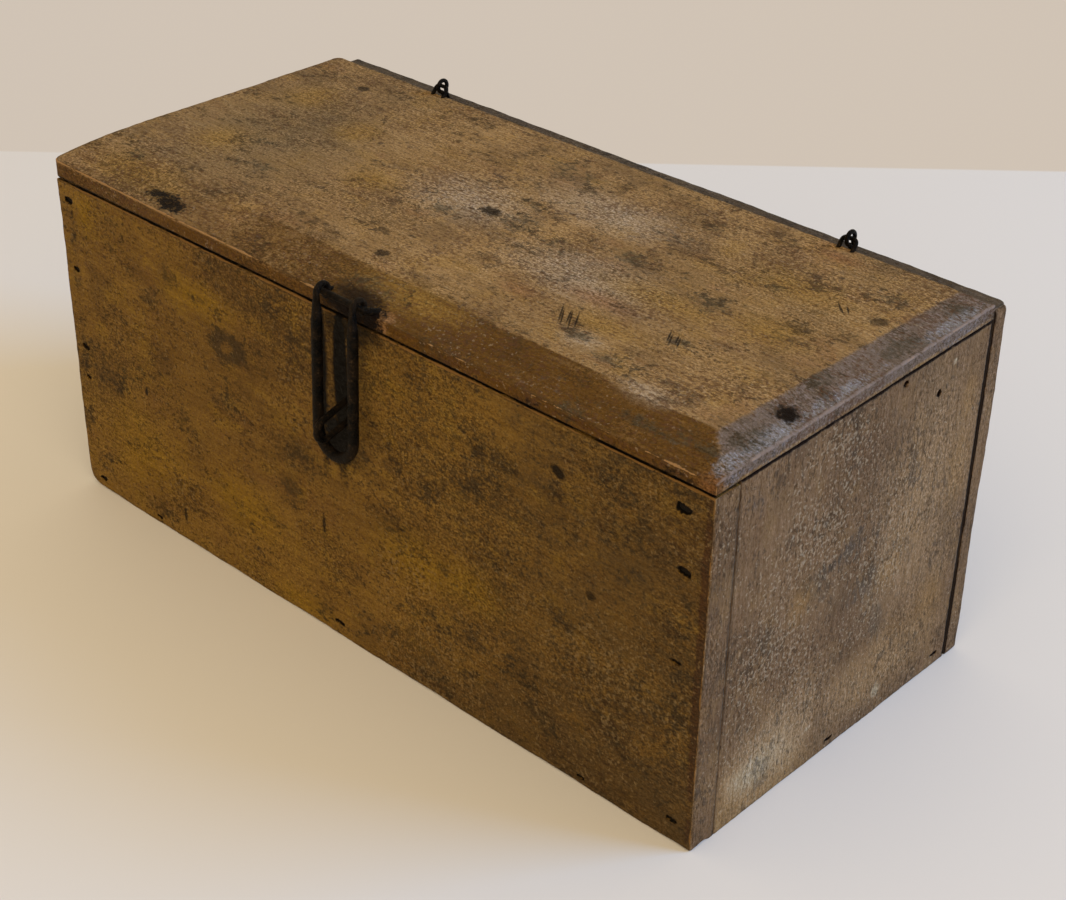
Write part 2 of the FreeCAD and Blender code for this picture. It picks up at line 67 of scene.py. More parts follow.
class Body(Enum):
    """The rigid bodies that pieces ride on."""

    BOX = "box"
    LID = "lid"
    HASP = "hasp"


class Axis(Enum):
    """A direction of the frame, by its number."""

    X = 0
    Y = 1
    Z = 2


class Side(IntEnum):
    """A side of a board, two for each axis with the low one first."""

    LEFT = 0
    RIGHT = 1
    FRONT = 2
    REAR = 3
    UNDER = 4
    TOP = 5

    @property
    def axis(self) -> int:
        """The number of the axis that the side looks along."""
        return self // 2

    @property
    def sign(self) -> int:
        """Which way along its axis the side looks."""
        return 1 if self % 2 else -1


# ---------------------------------------------------------------- small helpers


def smooth(values: np.ndarray, low: float, high: float) -> np.ndarray:
    """Rise smoothly from 0 at one value to 1 at another."""
    share = np.clip((values - low) / (high - low), 0, 1)
    return share * share * (3 - 2 * share)


def placed(name: str, data: bpy.types.ID) -> bpy.types.Object:
    """Put new data into the scene as an object.

    Args:
        name: The object's name.
        data: What it shows.

    Returns:
        The new object.
    """
    thing = bpy.data.objects.new(name, data)
    bpy.context.scene.collection.objects.link(thing)
    return thing


def joint_place(name: str) -> Vector:
    """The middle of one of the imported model's joints."""
    return next(Vector(joint["pos_m"]) for joint in frame["joints"] if joint["name"] == name)


def middle_of(node: str) -> float:
    """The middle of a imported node, along the front."""
    low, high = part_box(node)
    return (low.x + high.x) / 2


# ---------------------------------------------------------------- node benches


class Bench:
    """Builds a node tree."""

    def __init__(self, tree: bpy.types.NodeTree) -> None:
        """Take up a tree."""
        self.tree = tree

    def add(self, kind: str, settings: dict[str, object] | None = None, **links: object) -> bpy.types.Node:
        """Add a node.

        Args:
            kind: The node's type name.
            settings: Properties of the node.
            links: For each input, by name with underscores for spaces, a socket or a value.

        Returns:
            The new node.
        """
        node = self.tree.nodes.new(kind)
        for key, value in (settings or {}).items():
            setattr(node, key, value)
        for key, value in links.items():
            self.feed(node.inputs[key.replace("_", " ")], value)
        return node

    def feed(self, socket: Socket, value: object) -> None:
        """Link a socket to another, or set its value.

        Args:
            socket: The input to feed.
            value: The socket to link it to, or its value.
        """
        if isinstance(value, bpy.types.NodeSocket):
            self.tree.links.new(value, socket)
        else:
            socket.default_value = value

    def math(self, operation: str, *values: object, clamp: bool = False) -> Socket:
        """Combine numbers.

        Args:
            operation: The name of the operation.
            values: The sockets or numbers that it takes.
            clamp: Whether the result is kept between 0 and 1.

        Returns:
            The result's socket.
        """
        node = self.add("ShaderNodeMath", {"operation": operation, "use_clamp": clamp})
        for socket, value in zip(node.inputs, values):
            self.feed(socket, value)
        return node.outputs[0]

    def plus(self, base: object, more: object, share: float = 1.0) -> Socket:
        """A number with a share of another added to it."""
        return self.math("MULTIPLY_ADD", more, share, base)


@dataclass(frozen=True)
class Noise:
    """A fractal pattern: its features for each metre, its octaves, and how much the finer ones weigh.

    Reach is how many times longer its features are along the grain, offset moves the pattern, and
    warp bends it.
    """

    features: float
    octaves: float
    roughness: float
    reach: float = 1.0
    offset: float = 0.0
    warp: float = 0.0


@dataclass(frozen=True)
class Edge:
    """How a patch ends: how ragged its edge is, and the levels at which it starts and is full."""

    ragging: float
    start: float
    full: float


@dataclass(frozen=True)
class Mark:
    """A stain, scratch, hole, scuff or painted shadow on a board, in millimetres and degrees."""

    centre: tuple[float, float, float]
    radii: tuple[float, float, float]
    strength: float = 0.9
    soft: float = 0.3
    rough: float = 3.0
    turn: tuple[float, float, float] = (0.0, 0.0, 0.0)
    hollow: float = 0.0


class ShaderBench(Bench):
    """Builds one material's node tree, a layer at a time."""

    rim: float = 0.15

    def __init__(self, name: str) -> None:
        """Start an empty material with a principled surface.

        Args:
            name: The material's name.
        """
        self.material = bpy.data.materials.new(name)
        self.material.use_nodes = True
        super().__init__(self.material.node_tree)
        self.surface = self.tree.nodes["Principled BSDF"]
        self.place = self.add("ShaderNodeTexCoord").outputs["Object"]

    def dress(self, **inputs: object) -> None:
        """Feed the surface's inputs, by name with underscores for spaces."""
        for key, value in inputs.items():
            self.feed(self.surface.inputs[key.replace("_", " ")], value)

    def noise(self, pattern: Noise, along: Axis = Axis.X, shift: float = 0.0, pull: float = 1.0) -> Socket:
        """Fractal noise on the object's own place.

        Args:
            pattern: What it looks like.
            along: The grain, which its features are drawn out along.
            shift: Moves the pattern, so that two finishes differ.
            pull: Draws the features out further.

        Returns:
            The noise, between 0 and 1.
        """
        factors = [1.0, 1.0, 1.0]
        factors[along.value] = 1.0 / (pattern.reach * pull)
        away = shift + pattern.offset
        shifted = [a * b for a, b in zip((away, away * 0.7, -away), factors)]
        place = self.add("ShaderNodeVectorMath", {"operation": "MULTIPLY_ADD"})
        for socket, value in zip(place.inputs, (self.place, factors, shifted)):
            self.feed(socket, value)
        return self.add("ShaderNodeTexNoise", Vector=place.outputs[0], Scale=pattern.features,
                        Detail=pattern.octaves, Roughness=pattern.roughness,
                        Distortion=pattern.warp).outputs["Fac"]

    def span(self, value: object, low: float, high: float, first: float = 0.0, last: float = 1.0) -> Socket:
        """Map a range of a number smoothly onto another.

        Args:
            value: The socket to map.
            low: Where the range starts.
            high: Where it ends.
            first: The result at the start.
            last: The result at the end.

        Returns:
            The mapped number.
        """
        node = self.add("ShaderNodeMapRange", {"interpolation_type": "SMOOTHSTEP", "clamp": True})
        for socket, item in zip(node.inputs, (value, low, high, first, last)):
            self.feed(socket, item)
        return node.outputs[0]

    def blend(self, share: object, first: object, second: object, mode: str = "MIX") -> Socket:
        """Mix two colours.

        Args:
            share: How much of the second shows.
            first: A socket or a colour.
            second: A socket or a colour.
            mode: The blend mode.

        Returns:
            The colour's socket.
        """
        node = self.add("ShaderNodeMix", {"data_type": "RGBA", "blend_type": mode, "clamp_factor": True})
        sockets = [socket for socket in node.inputs if socket.enabled]
        for socket, value in zip(sockets, (share, first, second)):
            self.feed(socket, (*value, 1.0) if isinstance(value, tuple) else value)
        return next(socket for socket in node.outputs if socket.enabled)

    def attribute(self, name: str) -> Socket:
        """A number that each vertex of the piece carries."""
        return self.add("ShaderNodeAttribute", {"attribute_name": name}).outputs["Fac"]

    def patch(self, level: Socket, ragged: Socket, edge: Edge, share: float = 1.0) -> Socket:
        """Where a patch shows, with its edge broken up.

        Args:
            level: The level that the patch follows.
            ragged: Noise about zero that breaks up the edge.
            edge: How it ends.
            share: How strongly it shows inside.

        Returns:
            Its share at each place.
        """
        if edge.ragging:
            level = self.plus(level, ragged, edge.ragging)
        return self.span(level, edge.start, edge.full, 0.0, share)

    def spot(self, mark: Mark, ragged: Socket) -> Socket:
        """A ragged oval mark.

        Args:
            mark: Its place, size, turn and softness.
            ragged: Noise about zero that eats into its edge.

        Returns:
            The mark's strength inside it, 0 outside.
        """
        near = self.add("ShaderNodeMapping", {"vector_type": "TEXTURE"}, Vector=self.place,
                        Location=[value * MM for value in mark.centre],
                        Rotation=[math.radians(value) for value in mark.turn],
                        Scale=[value * MM for value in mark.radii])
        length = self.add("ShaderNodeVectorMath", {"operation": "LENGTH"}, Vector=near.outputs[0])
        reach = self.plus(length.outputs["Value"], ragged, mark.rough)
        inside = self.span(reach, 1.0 + mark.soft, 1.0 - mark.soft, 0.0, mark.strength)
        if not mark.hollow:
            return inside
        middle = self.span(reach, mark.hollow + self.rim, mark.hollow - self.rim, 0.0, mark.strength)
        return self.math("SUBTRACT", inside, middle, clamp=True)

    def bump(self, height: Socket, depth: float, strength: float = 1.0) -> None:
        """Roughen the surface by a height.

        Args:
            height: The height, about 0 to 1.
            depth: What a height of 1 stands for, in metres.
            strength: Share of the effect.
        """
        self.dress(Normal=self.add("ShaderNodeBump", Strength=strength, Distance=depth,
                                   Height=height).outputs[0])


class GeometryBench(Bench):
    """Builds one Geometry Nodes tree and bakes it onto pieces."""

    def __init__(self, name: str, inputs: dict[str, tuple[str, object]]) -> None:
        """Start a tree with a geometry passing through.

        Args:
            name: The tree's name.
            inputs: For each named input, its socket type and default value.
        """
        super().__init__(bpy.data.node_groups.new(name, "GeometryNodeTree"))
        face = self.tree.interface
        for way in ("INPUT", "OUTPUT"):
            face.new_socket("Geometry", in_out=way, socket_type="NodeSocketGeometry")
        self.identifiers: dict[str, str] = {}
        for label, (kind, value) in inputs.items():
            socket = face.new_socket(label, in_out="INPUT", socket_type=kind)
            if value is not None:
                socket.default_value = value
            self.identifiers[label] = socket.identifier
        self.entry = self.tree.nodes.new("NodeGroupInput")
        self.exit = self.tree.nodes.new("NodeGroupOutput")

    def given(self, label: str) -> Socket:
        """The tree's own input of that name."""
        return self.entry.outputs[label]

    def vector(self, operation: str, first: object, second: object) -> Socket:
        """Combine two vectors, or scale the first where the operation is SCALE.

        Args:
            operation: The name of the operation.
            first: A vector.
            second: A vector, or the factor of SCALE.

        Returns:
            The result's socket.
        """
        node = self.add("ShaderNodeVectorMath", {"operation": operation})
        self.feed(node.inputs[0], first)
        self.feed(node.inputs["Scale" if operation == "SCALE" else 1], second)
        return node.outputs[0]

    def swell(self, scale: float, detail: float, shift: object, height: object) -> Socket:
        """Noise about zero at each point.

        Args:
            scale: Features for each metre.
            detail: Octaves.
            shift: Moves the pattern.
            height: How high it stands where the noise is 1.

        Returns:
            The noise, to about half the height either way.
        """
        place = self.vector("ADD", self.add("GeometryNodeInputPosition").outputs[0], shift)
        noise = self.add("ShaderNodeTexNoise", Vector=place, Scale=scale, Detail=detail).outputs[0]
        return self.math("MULTIPLY", self.math("SUBTRACT", noise, 0.5), height)

    def push(self, geometry: Socket, distance: Socket) -> Socket:
        """Move each point along its normal.

        Args:
            geometry: What is moved.
            distance: How far each point moves.

        Returns:
            The moved geometry.
        """
        offset = self.vector("SCALE", self.add("GeometryNodeInputNormal").outputs[0], distance)
        return self.add("GeometryNodeSetPosition", Geometry=geometry, Offset=offset).outputs[0]

    def close(self, geometry: Socket) -> None:
        """End the tree with real, dressed, smoothly shaded geometry.

        Args:
            geometry: What the tree has made.
        """
        shaded = self.add("GeometryNodeSetShadeSmooth", Geometry=geometry).outputs[0]
        real = self.add("GeometryNodeRealizeInstances", Geometry=shaded).outputs[0]
        dressed = self.add("GeometryNodeSetMaterial", Geometry=real, Material=self.given("Material"))
        self.feed(self.exit.inputs[0], dressed.outputs[0])

    def bake(self, source: bpy.types.Object, name: str, **values: object) -> bpy.types.Object:
        """Run the tree on an object and keep the result as a plain mesh piece.

        Args:
            source: The object to run it on, which is removed.
            name: The new piece's name.
            values: The tree's inputs, by name.

        Returns:
            The new piece.
        """
        modifier = source.modifiers.new(name, "NODES")
        modifier.node_group = self.tree
        for key, value in values.items():
            modifier[self.identifiers[key]] = value
        bpy.context.view_layer.update()
        graph = bpy.context.evaluated_depsgraph_get()
        mesh = bpy.data.meshes.new_from_object(source.evaluated_get(graph), preserve_all_data_layers=True,
                                               depsgraph=graph)
        source.modifiers.remove(modifier)
        bpy.data.objects.remove(source)
        mesh.name = name
        return placed(name, mesh)


# ---------------------------------------------------------------- finishes


@dataclass(frozen=True)
class Coat:
    """Patches of one colour that lie on the paint, as a film or as crumbs that thin out at the edge."""

    colour: Colour
    marks: tuple[Mark, ...]
    crumbly: bool = False
    rim: float = 0.3

    def spread(self, points: np.ndarray) -> np.ndarray:
        """How thick the coat lies at each point, from 0 to 1.

        Args:
            points: The board's points.

        Returns:
            The thickness at each.
        """
        thick = np.zeros(len(points))
        for mark in self.marks:
            reach = np.linalg.norm((points / MM - mark.centre) / mark.radii, axis=1)
            inside = smooth(reach, 1 + mark.soft, 1 - mark.soft)
            if mark.hollow:
                inside *= smooth(reach, mark.hollow - self.rim, mark.hollow + self.rim)
            thick = np.maximum(thick, mark.strength * inside)
        return thick


GRIT = Noise(400, 7, 0.72)
FIBRE = Noise(1000, 3, 0.75, offset=3)
STREAKS = Noise(700, 3, 0.6, 16, 5)
BREAKS = Noise(60, 4, 0.6, 1.5, 37)
TONE, TONE_EDGE = Noise(11, 5, 0.55, 1.4, 7), Edge(0.45, 0.40, 0.62)
GOLD, GOLD_EDGE = Noise(75, 8, 0.64, 1.5, 27), Edge(0.0, 0.52, 0.62)
RUDDY, RUDDY_EDGE = Noise(58, 8, 0.64, 1.4, 31), Edge(0.0, 0.54, 0.64)
CLOUD, CLOUD_EDGE = Noise(34, 9, 0.66, 1.5, 11), Edge(0.65, 0.50, 0.63)
DIRT, DIRT_EDGE = Noise(50, 9, 0.70, 1.3, 13), Edge(0.80, 0.57, 0.68)
STAIN_AND_SHADE_EDGE, COOL_SHEEN_EDGE = Edge(1.4, 0.10, 0.95), Edge(1.1, 0.10, 0.90)
FILM_EDGE, CRUMB_EDGE = Edge(0.6, 0.0, 1.0), Edge(1.1, 0.16, 0.40)
PAINTED_HIGHLIGHT_EDGE, IRON_EDGE = Edge(1.8, 0.45, 1.10), Edge(1.2, 0.30, 0.75)
PATCHES, WORN = Noise(19, 4, 0.6, offset=17), Noise(26, 5, 0.6, offset=19)
NICKS, PRICKS = Noise(620, 4, 0.62, 1.2, 43), Noise(620, 1.5, 0.5, offset=41)
KNOCKS = Noise(70, 5, 0.6, offset=23)
TINT_POWERS = (0.92, 1.08, 1.45)


@dataclass(frozen=True)
class PaintFinish:
    """Old ochre paint, rubbed and dirtied, on one face of the chest, with part of the light that falls on
    that face painted into its colours.
    """

    name: str
    grain: Axis
    light: Colour
    middle: Colour
    dark: Colour
    grime: Colour
    stain_and_shade_tone: Colour
    cool_sheen_tone: Colour
    wear: Colour
    pale: Colour
    black: Colour = (0.0045, 0.0034, 0.0024)
    nick: Colour = (0.045, 0.022, 0.008)
    gold: Colour = (0.30, 0.17, 0.03)
    ruddy: Colour = (0.22, 0.11, 0.05)
    gleam: Colour = (0.320, 0.255, 0.235)
    dark_share: float = 0.6
    grime_share: float = 0.6
    gold_share: float = 0.5
    ruddy_share: float = 0.25
    fleck_share: float = 0.45
    pale_share: float = 0.4
    crumb_share: float = 0.72
    pull: float = 1.3
    contrast: float = 2.9
    nick_from: float = 0.84
    lines: float = 1.0
    unevenness: float = 1.5
    relief: float = 1.7 * MM
    shift: float = 0.0
    shine: float = 0.05
    stains_and_shadows: tuple[Mark, ...] = ()
    chalk: Coat | None = None
    coats: tuple[Coat, ...] = ()

    def layers(self) -> dict[str, Coat]:
        """The coats, under the name that each vertex's thickness goes by."""
        named = {f"{self.name}_{number}": coat for number, coat in enumerate(self.coats)}
        if self.chalk is not None:
            named[f"{self.name}_chalk"] = self.chalk
        return named

    def build(self) -> bpy.types.Material:
        """Make the material.

        Returns:
            The finished material.
        """
        bench = ShaderBench(self.name)
        grit = bench.noise(GRIT, self.grain, self.shift, self.pull)
        fibre = bench.noise(FIBRE, self.grain, self.shift, self.pull)
        streaks = bench.noise(STREAKS, self.grain, self.shift)
        breaks = bench.noise(BREAKS, self.grain, self.shift)
        ragged = bench.math("SUBTRACT", bench.plus(grit, breaks, 0.7), 0.85)
        colour = self._ground(bench, ragged)
        colour = self._speckle(bench, colour, grit, fibre, streaks)
        colour = self._rub(bench, colour, ragged)
        colour, black = self._mark(bench, colour, ragged)
        gloss = bench.plus(grit, bench.attribute("arris"), -0.08)
        bench.dress(Base_Color=colour, Roughness=bench.span(gloss, 0.38, 0.66, 0.42, 0.75),
                    Specular_IOR_Level=self.shine)
        height = bench.plus(bench.plus(grit, fibre, 0.55), streaks, 0.25)
        bench.bump(bench.plus(height, black, -0.25), self.relief)
        return bench.material

    def _ground(self, bench: ShaderBench, ragged: Socket) -> Socket:
        """The paint's own uneven tone, its stain marks, painted shade and painted cool sheen, and the dirt
        that lies on it in patches.

        Args:
            bench: The material being built.
            ragged: Noise about zero that breaks up the edges of the patches.

        Returns:
            The colour.
        """
        colour = self.middle
        for pattern, edge, share, tint in (
                (TONE, TONE_EDGE, 1.0, self.light), (GOLD, GOLD_EDGE, self.gold_share, self.gold),
                (RUDDY, RUDDY_EDGE, self.ruddy_share, self.ruddy),
                (CLOUD, CLOUD_EDGE, self.dark_share, self.dark)):
            level = bench.noise(pattern, self.grain, self.shift)
            colour = bench.blend(bench.patch(level, ragged, edge, share), colour, tint)
        # Darker and stained places, partly painted shade, then greyer places that are a painted cool sheen.
        for name, edge, tint in (("smoked", STAIN_AND_SHADE_EDGE, self.stain_and_shade_tone), ("greyed", COOL_SHEEN_EDGE, self.cool_sheen_tone)):
            colour = bench.blend(bench.patch(bench.attribute(name), ragged, edge), colour, tint)
        for number, coat in enumerate(self.coats):
            thick = bench.attribute(f"{self.name}_{number}")
            if coat.crumbly:
                share = bench.patch(bench.math("MULTIPLY", thick, 0.55), ragged, CRUMB_EDGE, self.crumb_share)
            else:
                share = bench.patch(thick, ragged, FILM_EDGE)
            colour = bench.blend(share, colour, coat.colour)
        dirt = bench.noise(DIRT, self.grain, self.shift)
        return bench.blend(bench.patch(dirt, ragged, DIRT_EDGE, self.grime_share), colour, self.grime)

    def _speckle(self, bench: ShaderBench, colour: Socket, grit: Socket, fibre: Socket,
                 streaks: Socket) -> Socket:
        """Fine fibres, dark crumbs and pale pricks.

        Args:
            bench: The material being built.
            colour: The colour so far.
            grit: Noise at the size of crumbs.
            fibre: Noise below that.
            streaks: Noise drawn out along the grain.

        Returns:
            The new colour.
        """
        patches = bench.noise(PATCHES, self.grain, self.shift)
        worn = bench.noise(WORN, self.grain, self.shift)
        sharp = bench.span(patches, 0.36, 0.64, 0.55 * self.contrast, 1.45 * self.contrast)
        shade = bench.math("MULTIPLY_ADD", bench.math("SUBTRACT", fibre, 0.5), sharp, 1.0)
        for level, share in ((streaks, -self.lines), (grit, self.unevenness)):
            shade = bench.math("MULTIPLY", shade, bench.plus(1 - share / 2, level, share))
        shade = bench.math("MAXIMUM", shade, 0.05)
        tinted = bench.add("ShaderNodeCombineColor")
        for socket, power in zip(tinted.inputs, TINT_POWERS):
            bench.feed(socket, bench.math("POWER", shade, power))
        colour = bench.blend(1.0, colour, tinted.outputs[0], "MULTIPLY")
        crumbs = bench.span(bench.plus(grit, patches, 0.40), 0.71, 0.80, 0.0, self.fleck_share)
        colour = bench.blend(crumbs, colour, self.grime)
        nicks = bench.plus(bench.noise(NICKS, self.grain, self.shift, self.pull), worn, 0.50)
        nicks = bench.span(nicks, self.nick_from, self.nick_from + 0.06, 0.0, 0.65)
        colour = bench.blend(nicks, colour, self.nick)
        # The pale pricks are partly painted glints and partly chips in the paint.
        pricks = bench.plus(bench.noise(PRICKS, self.grain, self.shift), worn, 0.40)
        if self.chalk is not None:
            pricks = bench.plus(pricks, bench.attribute(f"{self.name}_chalk"), 0.10)
        return bench.blend(bench.span(pricks, 0.86, 0.94, 0.0, self.pale_share), colour, self.pale)

    def _rub(self, bench: ShaderBench, colour: Socket, ragged: Socket) -> Socket:
        """Wear the paint off along the arrises, where hands and knocks reach.

        Args:
            bench: The material being built.
            colour: The colour so far.
            ragged: Noise about zero that breaks up the wear.

        Returns:
            The new colour.
        """
        knocks = bench.noise(KNOCKS, self.grain, self.shift)
        reach = bench.plus(bench.plus(bench.attribute("arris"), knocks, 1.3), ragged, 1.1)
        colour = bench.blend(bench.span(reach, 1.05, 1.55, 0.0, 0.40), colour, self.grime)
        return bench.blend(bench.span(reach, 1.60, 1.78, 0.0, 0.85), colour, self.wear)

    def _mark(self, bench: ShaderBench, colour: Socket, ragged: Socket) -> tuple[Socket, Socket]:
        """Lay the painted highlight along an arris, the stain marks and painted hasp shadows, and the black
        of iron staining and of painted shade in the seams over the paint.

        Args:
            bench: The material being built.
            colour: The colour so far.
            ragged: Noise about zero that breaks up the edges.

        Returns:
            The new colour, and where the black is.
        """
        # Painted highlight, pale along the lid's right arris where the light catches it.
        gleam = bench.patch(bench.attribute("gleam"), ragged, PAINTED_HIGHLIGHT_EDGE, 0.75)
        colour = bench.blend(gleam, colour, self.gleam)
        black = bench.patch(bench.attribute("iron"), ragged, IRON_EDGE)
        for mark in self.stains_and_shadows:
            black = bench.math("MAXIMUM", black, bench.spot(mark, ragged))
        return bench.blend(black, colour, self.black), black


@dataclass(frozen=True)
class BareWoodFinish:
    """Bare pine gone brown with age, as inside the chest."""

    grain: Axis = Axis.X
    light: Colour = (0.34, 0.21, 0.105)
    dark: Colour = (0.17, 0.095, 0.045)
    soot: Colour = (0.045, 0.030, 0.020)
    black: Colour = (0.016, 0.009, 0.005)
    ring_pattern: Noise = Noise(95, 5, 0.6, 18, 2.0, 0.6)
    fibre_pattern: Noise = Noise(900, 4, 0.65, 22, 5.0)
    cloud_pattern: Noise = Noise(22, 6, 0.6, 2.5, 9.0)
    relief: float = 0.35 * MM

    def build(self) -> bpy.types.Material:
        """Make the material.

        Returns:
            The finished material.
        """
        bench = ShaderBench(f"bare_wood_{self.grain.name.lower()}")
        rings, fibre, cloud = (bench.noise(pattern, self.grain) for pattern in (
            self.ring_pattern, self.fibre_pattern, self.cloud_pattern))
        colour = bench.blend(bench.span(rings, 0.40, 0.62), self.light, self.dark)
        colour = bench.blend(bench.span(fibre, 0.42, 0.75, 0.0, 0.45), colour, self.dark)
        colour = bench.blend(bench.span(cloud, 0.50, 0.72, 0.0, 0.60), colour, self.soot)
        # Black from iron staining and from painted shade in the seams.
        colour = bench.blend(bench.attribute("iron"), colour, self.black)
        bench.dress(Base_Color=colour, Roughness=bench.span(fibre, 0.2, 0.8, 0.62, 0.85),
                    Specular_IOR_Level=0.25)
        bench.bump(bench.math("ADD", fibre, rings), self.relief, 0.8)
        return bench.material


@dataclass(frozen=True)
class IronFinish:
    """Hand-worked iron, black and greasy with old rust."""

    name: str
    black: Colour = (0.0014, 0.0011, 0.0009)
    brown: Colour = (0.014, 0.0085, 0.0045)
    crust: Colour = (0.11, 0.070, 0.040)
    brown_share: float = 0.75
    crust_share: float = 0.30
    cloud_pattern: Noise = Noise(150, 6, 0.65, offset=1.0)
    pit_pattern: Noise = Noise(900, 5, 0.7, offset=4.0)
    relief: float = 1.1 * MM

    def build(self) -> bpy.types.Material:
        """Make the material.

        Returns:
            The finished material.
        """
        bench = ShaderBench(self.name)
        cloud, pits = bench.noise(self.cloud_pattern), bench.noise(self.pit_pattern)
        ragged = bench.plus(cloud, pits, 0.5)
        colour = bench.blend(bench.span(ragged, 0.66, 0.86, 0.0, self.brown_share), self.black, self.brown)
        crust = bench.span(bench.plus(pits, cloud, 0.5), 0.83, 0.95, 0.0, self.crust_share)
        bench.dress(Base_Color=bench.blend(crust, colour, self.crust), Specular_IOR_Level=0.07,
                    Roughness=bench.span(ragged, 0.60, 0.92, 0.27, 0.62))
        bench.bump(bench.plus(pits, cloud, 0.8), self.relief)
        return bench.material


# ---------------------------------------------------------------- the paint's marks, face by face


@dataclass(frozen=True)
class Face:
    """A face of the chest that marks lie on: the axis that it looks along, and its place on it."""

    axis: Axis
    level: float
    deep: float = 30.0

    def mark(self, first: float, second: float, wide: float, tall: float, strength: float = 0.9,
             soft: float = 0.3, rough: float = 3.0, turn: float = 0.0, hollow: float = 0.0) -> Mark:
        """A mark that goes straight into the face.

        Args:
            first: Its place along the first of the face's two axes.
            second: Its place along the other.
            wide: How far it reaches along the first.
            tall: How far it reaches along the other.
            strength: How strongly it shows.
            soft: How softly it ends.
            rough: How ragged its edge is.
            turn: Its turn in the face, in degrees.
            hollow: How much of its middle is clear.

        Returns:
            The mark.
        """
        centre, radii, turns = [first, second], [wide, tall], [0.0, 0.0]
        for items, value in ((centre, self.level), (radii, self.deep), (turns, turn)):
            items.insert(self.axis.value, value)
        return Mark(tuple(centre), tuple(radii), strength, soft, rough, tuple(turns), hollow)

    def marks(self, look: tuple[float, float, float], *places: tuple[float, ...]) -> tuple[Mark, ...]:
        """Several marks of one strength, softness and raggedness, each with its place and reach."""
        return tuple(self.mark(*place, *look) for place in places)

    def film(self, colour: Colour, look: tuple[float, float, float], *places: tuple[float, ...]) -> Coat:
        """A film of one colour in several places."""
        return Coat(colour, self.marks(look, *places))

    def crumbs(self, colour: Colour, look: tuple[float, float, float], *places: tuple[float, ...]) -> Coat:
        """Crumbs of one colour in several places."""
        return Coat(colour, self.marks(look, *places), crumbly=True)

    def scratches(self, x: float, y: float, turns: Sequence[float], pitch: float, long: float,
                  thin: float = 0.42, stagger: float = 0.8) -> tuple[Mark, ...]:
        """A cluster of short slanting scratches.

        Args:
            x: The first one's place along the lid.
            y: Their place across it.
            turns: How each slants, in degrees.
            pitch: The spacing.
            long: Half the length of the longest.
            thin: Half their width.
            stagger: How far every other one is set off.

        Returns:
            One mark for each scratch.
        """
        return tuple(self.mark(x + pitch * number, y + stagger * (-1) ** number,
                               long * (1 - 0.13 * (number % 3)), thin, 0.85, 0.5, 0.4, turn)
                     for number, turn in enumerate(turns))


FRONT_FACE = Face(Axis.Y, -97.8)
END_FACE = Face(Axis.X, 203.0)
LID_FACE = Face(Axis.Z, 184.0)
WHITE = (1.0, 1.0, 1.0)

# One ochre paint on every face; each finish carries part of its face's light painted in: warmer on the front,
# paler on the lid, greyer on the ends.
WALL_PAINT = PaintFinish(
    name="worn_ochre_walls", grain=Axis.X,
    light=(0.220, 0.120, 0.0235), middle=(0.176, 0.094, 0.0200), dark=(0.098, 0.051, 0.0145),
    grime=(0.035, 0.024, 0.012), stain_and_shade_tone=(0.092, 0.054, 0.0195), cool_sheen_tone=(0.16, 0.12, 0.09),
    wear=(0.235, 0.120, 0.036), pale=(0.36, 0.25, 0.12), gold=(0.245, 0.140, 0.0200),
    ruddy=(0.158, 0.074, 0.025), pale_share=0.28, shift=1.0,
    # Round the hasp the black marks are partly painted shadow of its legs and staple, and partly black stain.
    stains_and_shadows=(FRONT_FACE.mark(125.6, 149, 3.2, 2.0, turn=25), FRONT_FACE.mark(144.8, 99, 2.2, 2.0, 0.7),
            FRONT_FACE.mark(-145.2, 76.1, 1.1, 2.4), FRONT_FACE.mark(-1.0, 140, 4.4, 48, 1.0, 0.2, 1.0),
            FRONT_FACE.mark(4, 167, 12, 6, 0.9, 0.5), FRONT_FACE.mark(-3.5, 110, 11.5, 12, 1.0, 0.3, 2.0),
            FRONT_FACE.mark(-13.0, 140, 2.6, 44, 1.0, 0.4, 2.0),
            *FRONT_FACE.marks((0.8, 0.5, 4.0), (-122, 15, 1.0, 4), (-16.7, 58, 0.8, 3.5),
                              (35.4, 79.6, 3, 1), (15, 170, 9, 5))),
    chalk=FRONT_FACE.film(WHITE, (1.0, 0.9, 0.5), (100, 45, 60, 30), (150, 75, 45, 22), (60, 25, 50, 25)),
    coats=(
        FRONT_FACE.film((0.26, 0.145, 0.012), (0.62, 0.9, 4.0), (-182, 158, 9, 12), (-73, 42, 24, 14),
                        (-97, 144, 26, 9), (45, 67, 26, 14), (75, 69, 20, 12), (-150, 40, 30, 20),
                        (-37, 6, 22, 8)),
        FRONT_FACE.crumbs((0.046, 0.028, 0.010), (0.50, 0.9, 3.0), (158, 151, 14, 7), (168, 138, 12, 9),
                          (137, 124, 7, 6), (193, 110, 6, 14), (103, 40, 20, 10), (119, 24, 18, 10),
                          (129, 6, 22, 6), (190, 60, 6, 20), (82, 140, 8, 4), (-60, 168, 10, 4),
                          (-166, 71, 6, 6), (121.6, 140, 3, 3), (60, 8, 40, 5), (-140, 8, 18, 6)),
        FRONT_FACE.crumbs((0.055, 0.020, 0.008), (0.9, 0.6, 3.0), (201, 95, 2.5, 85)),
        Coat((0.042, 0.027, 0.012), crumbly=True, marks=(
            FRONT_FACE.mark(-79, 126, 13, 9, 0.9, 0.5, hollow=0.35),
            *FRONT_FACE.marks((0.5, 0.7, 5.0), (-68, 121, 8, 2.5), (-194, 110, 4, 50), (-31, 87, 18, 10))))),
)
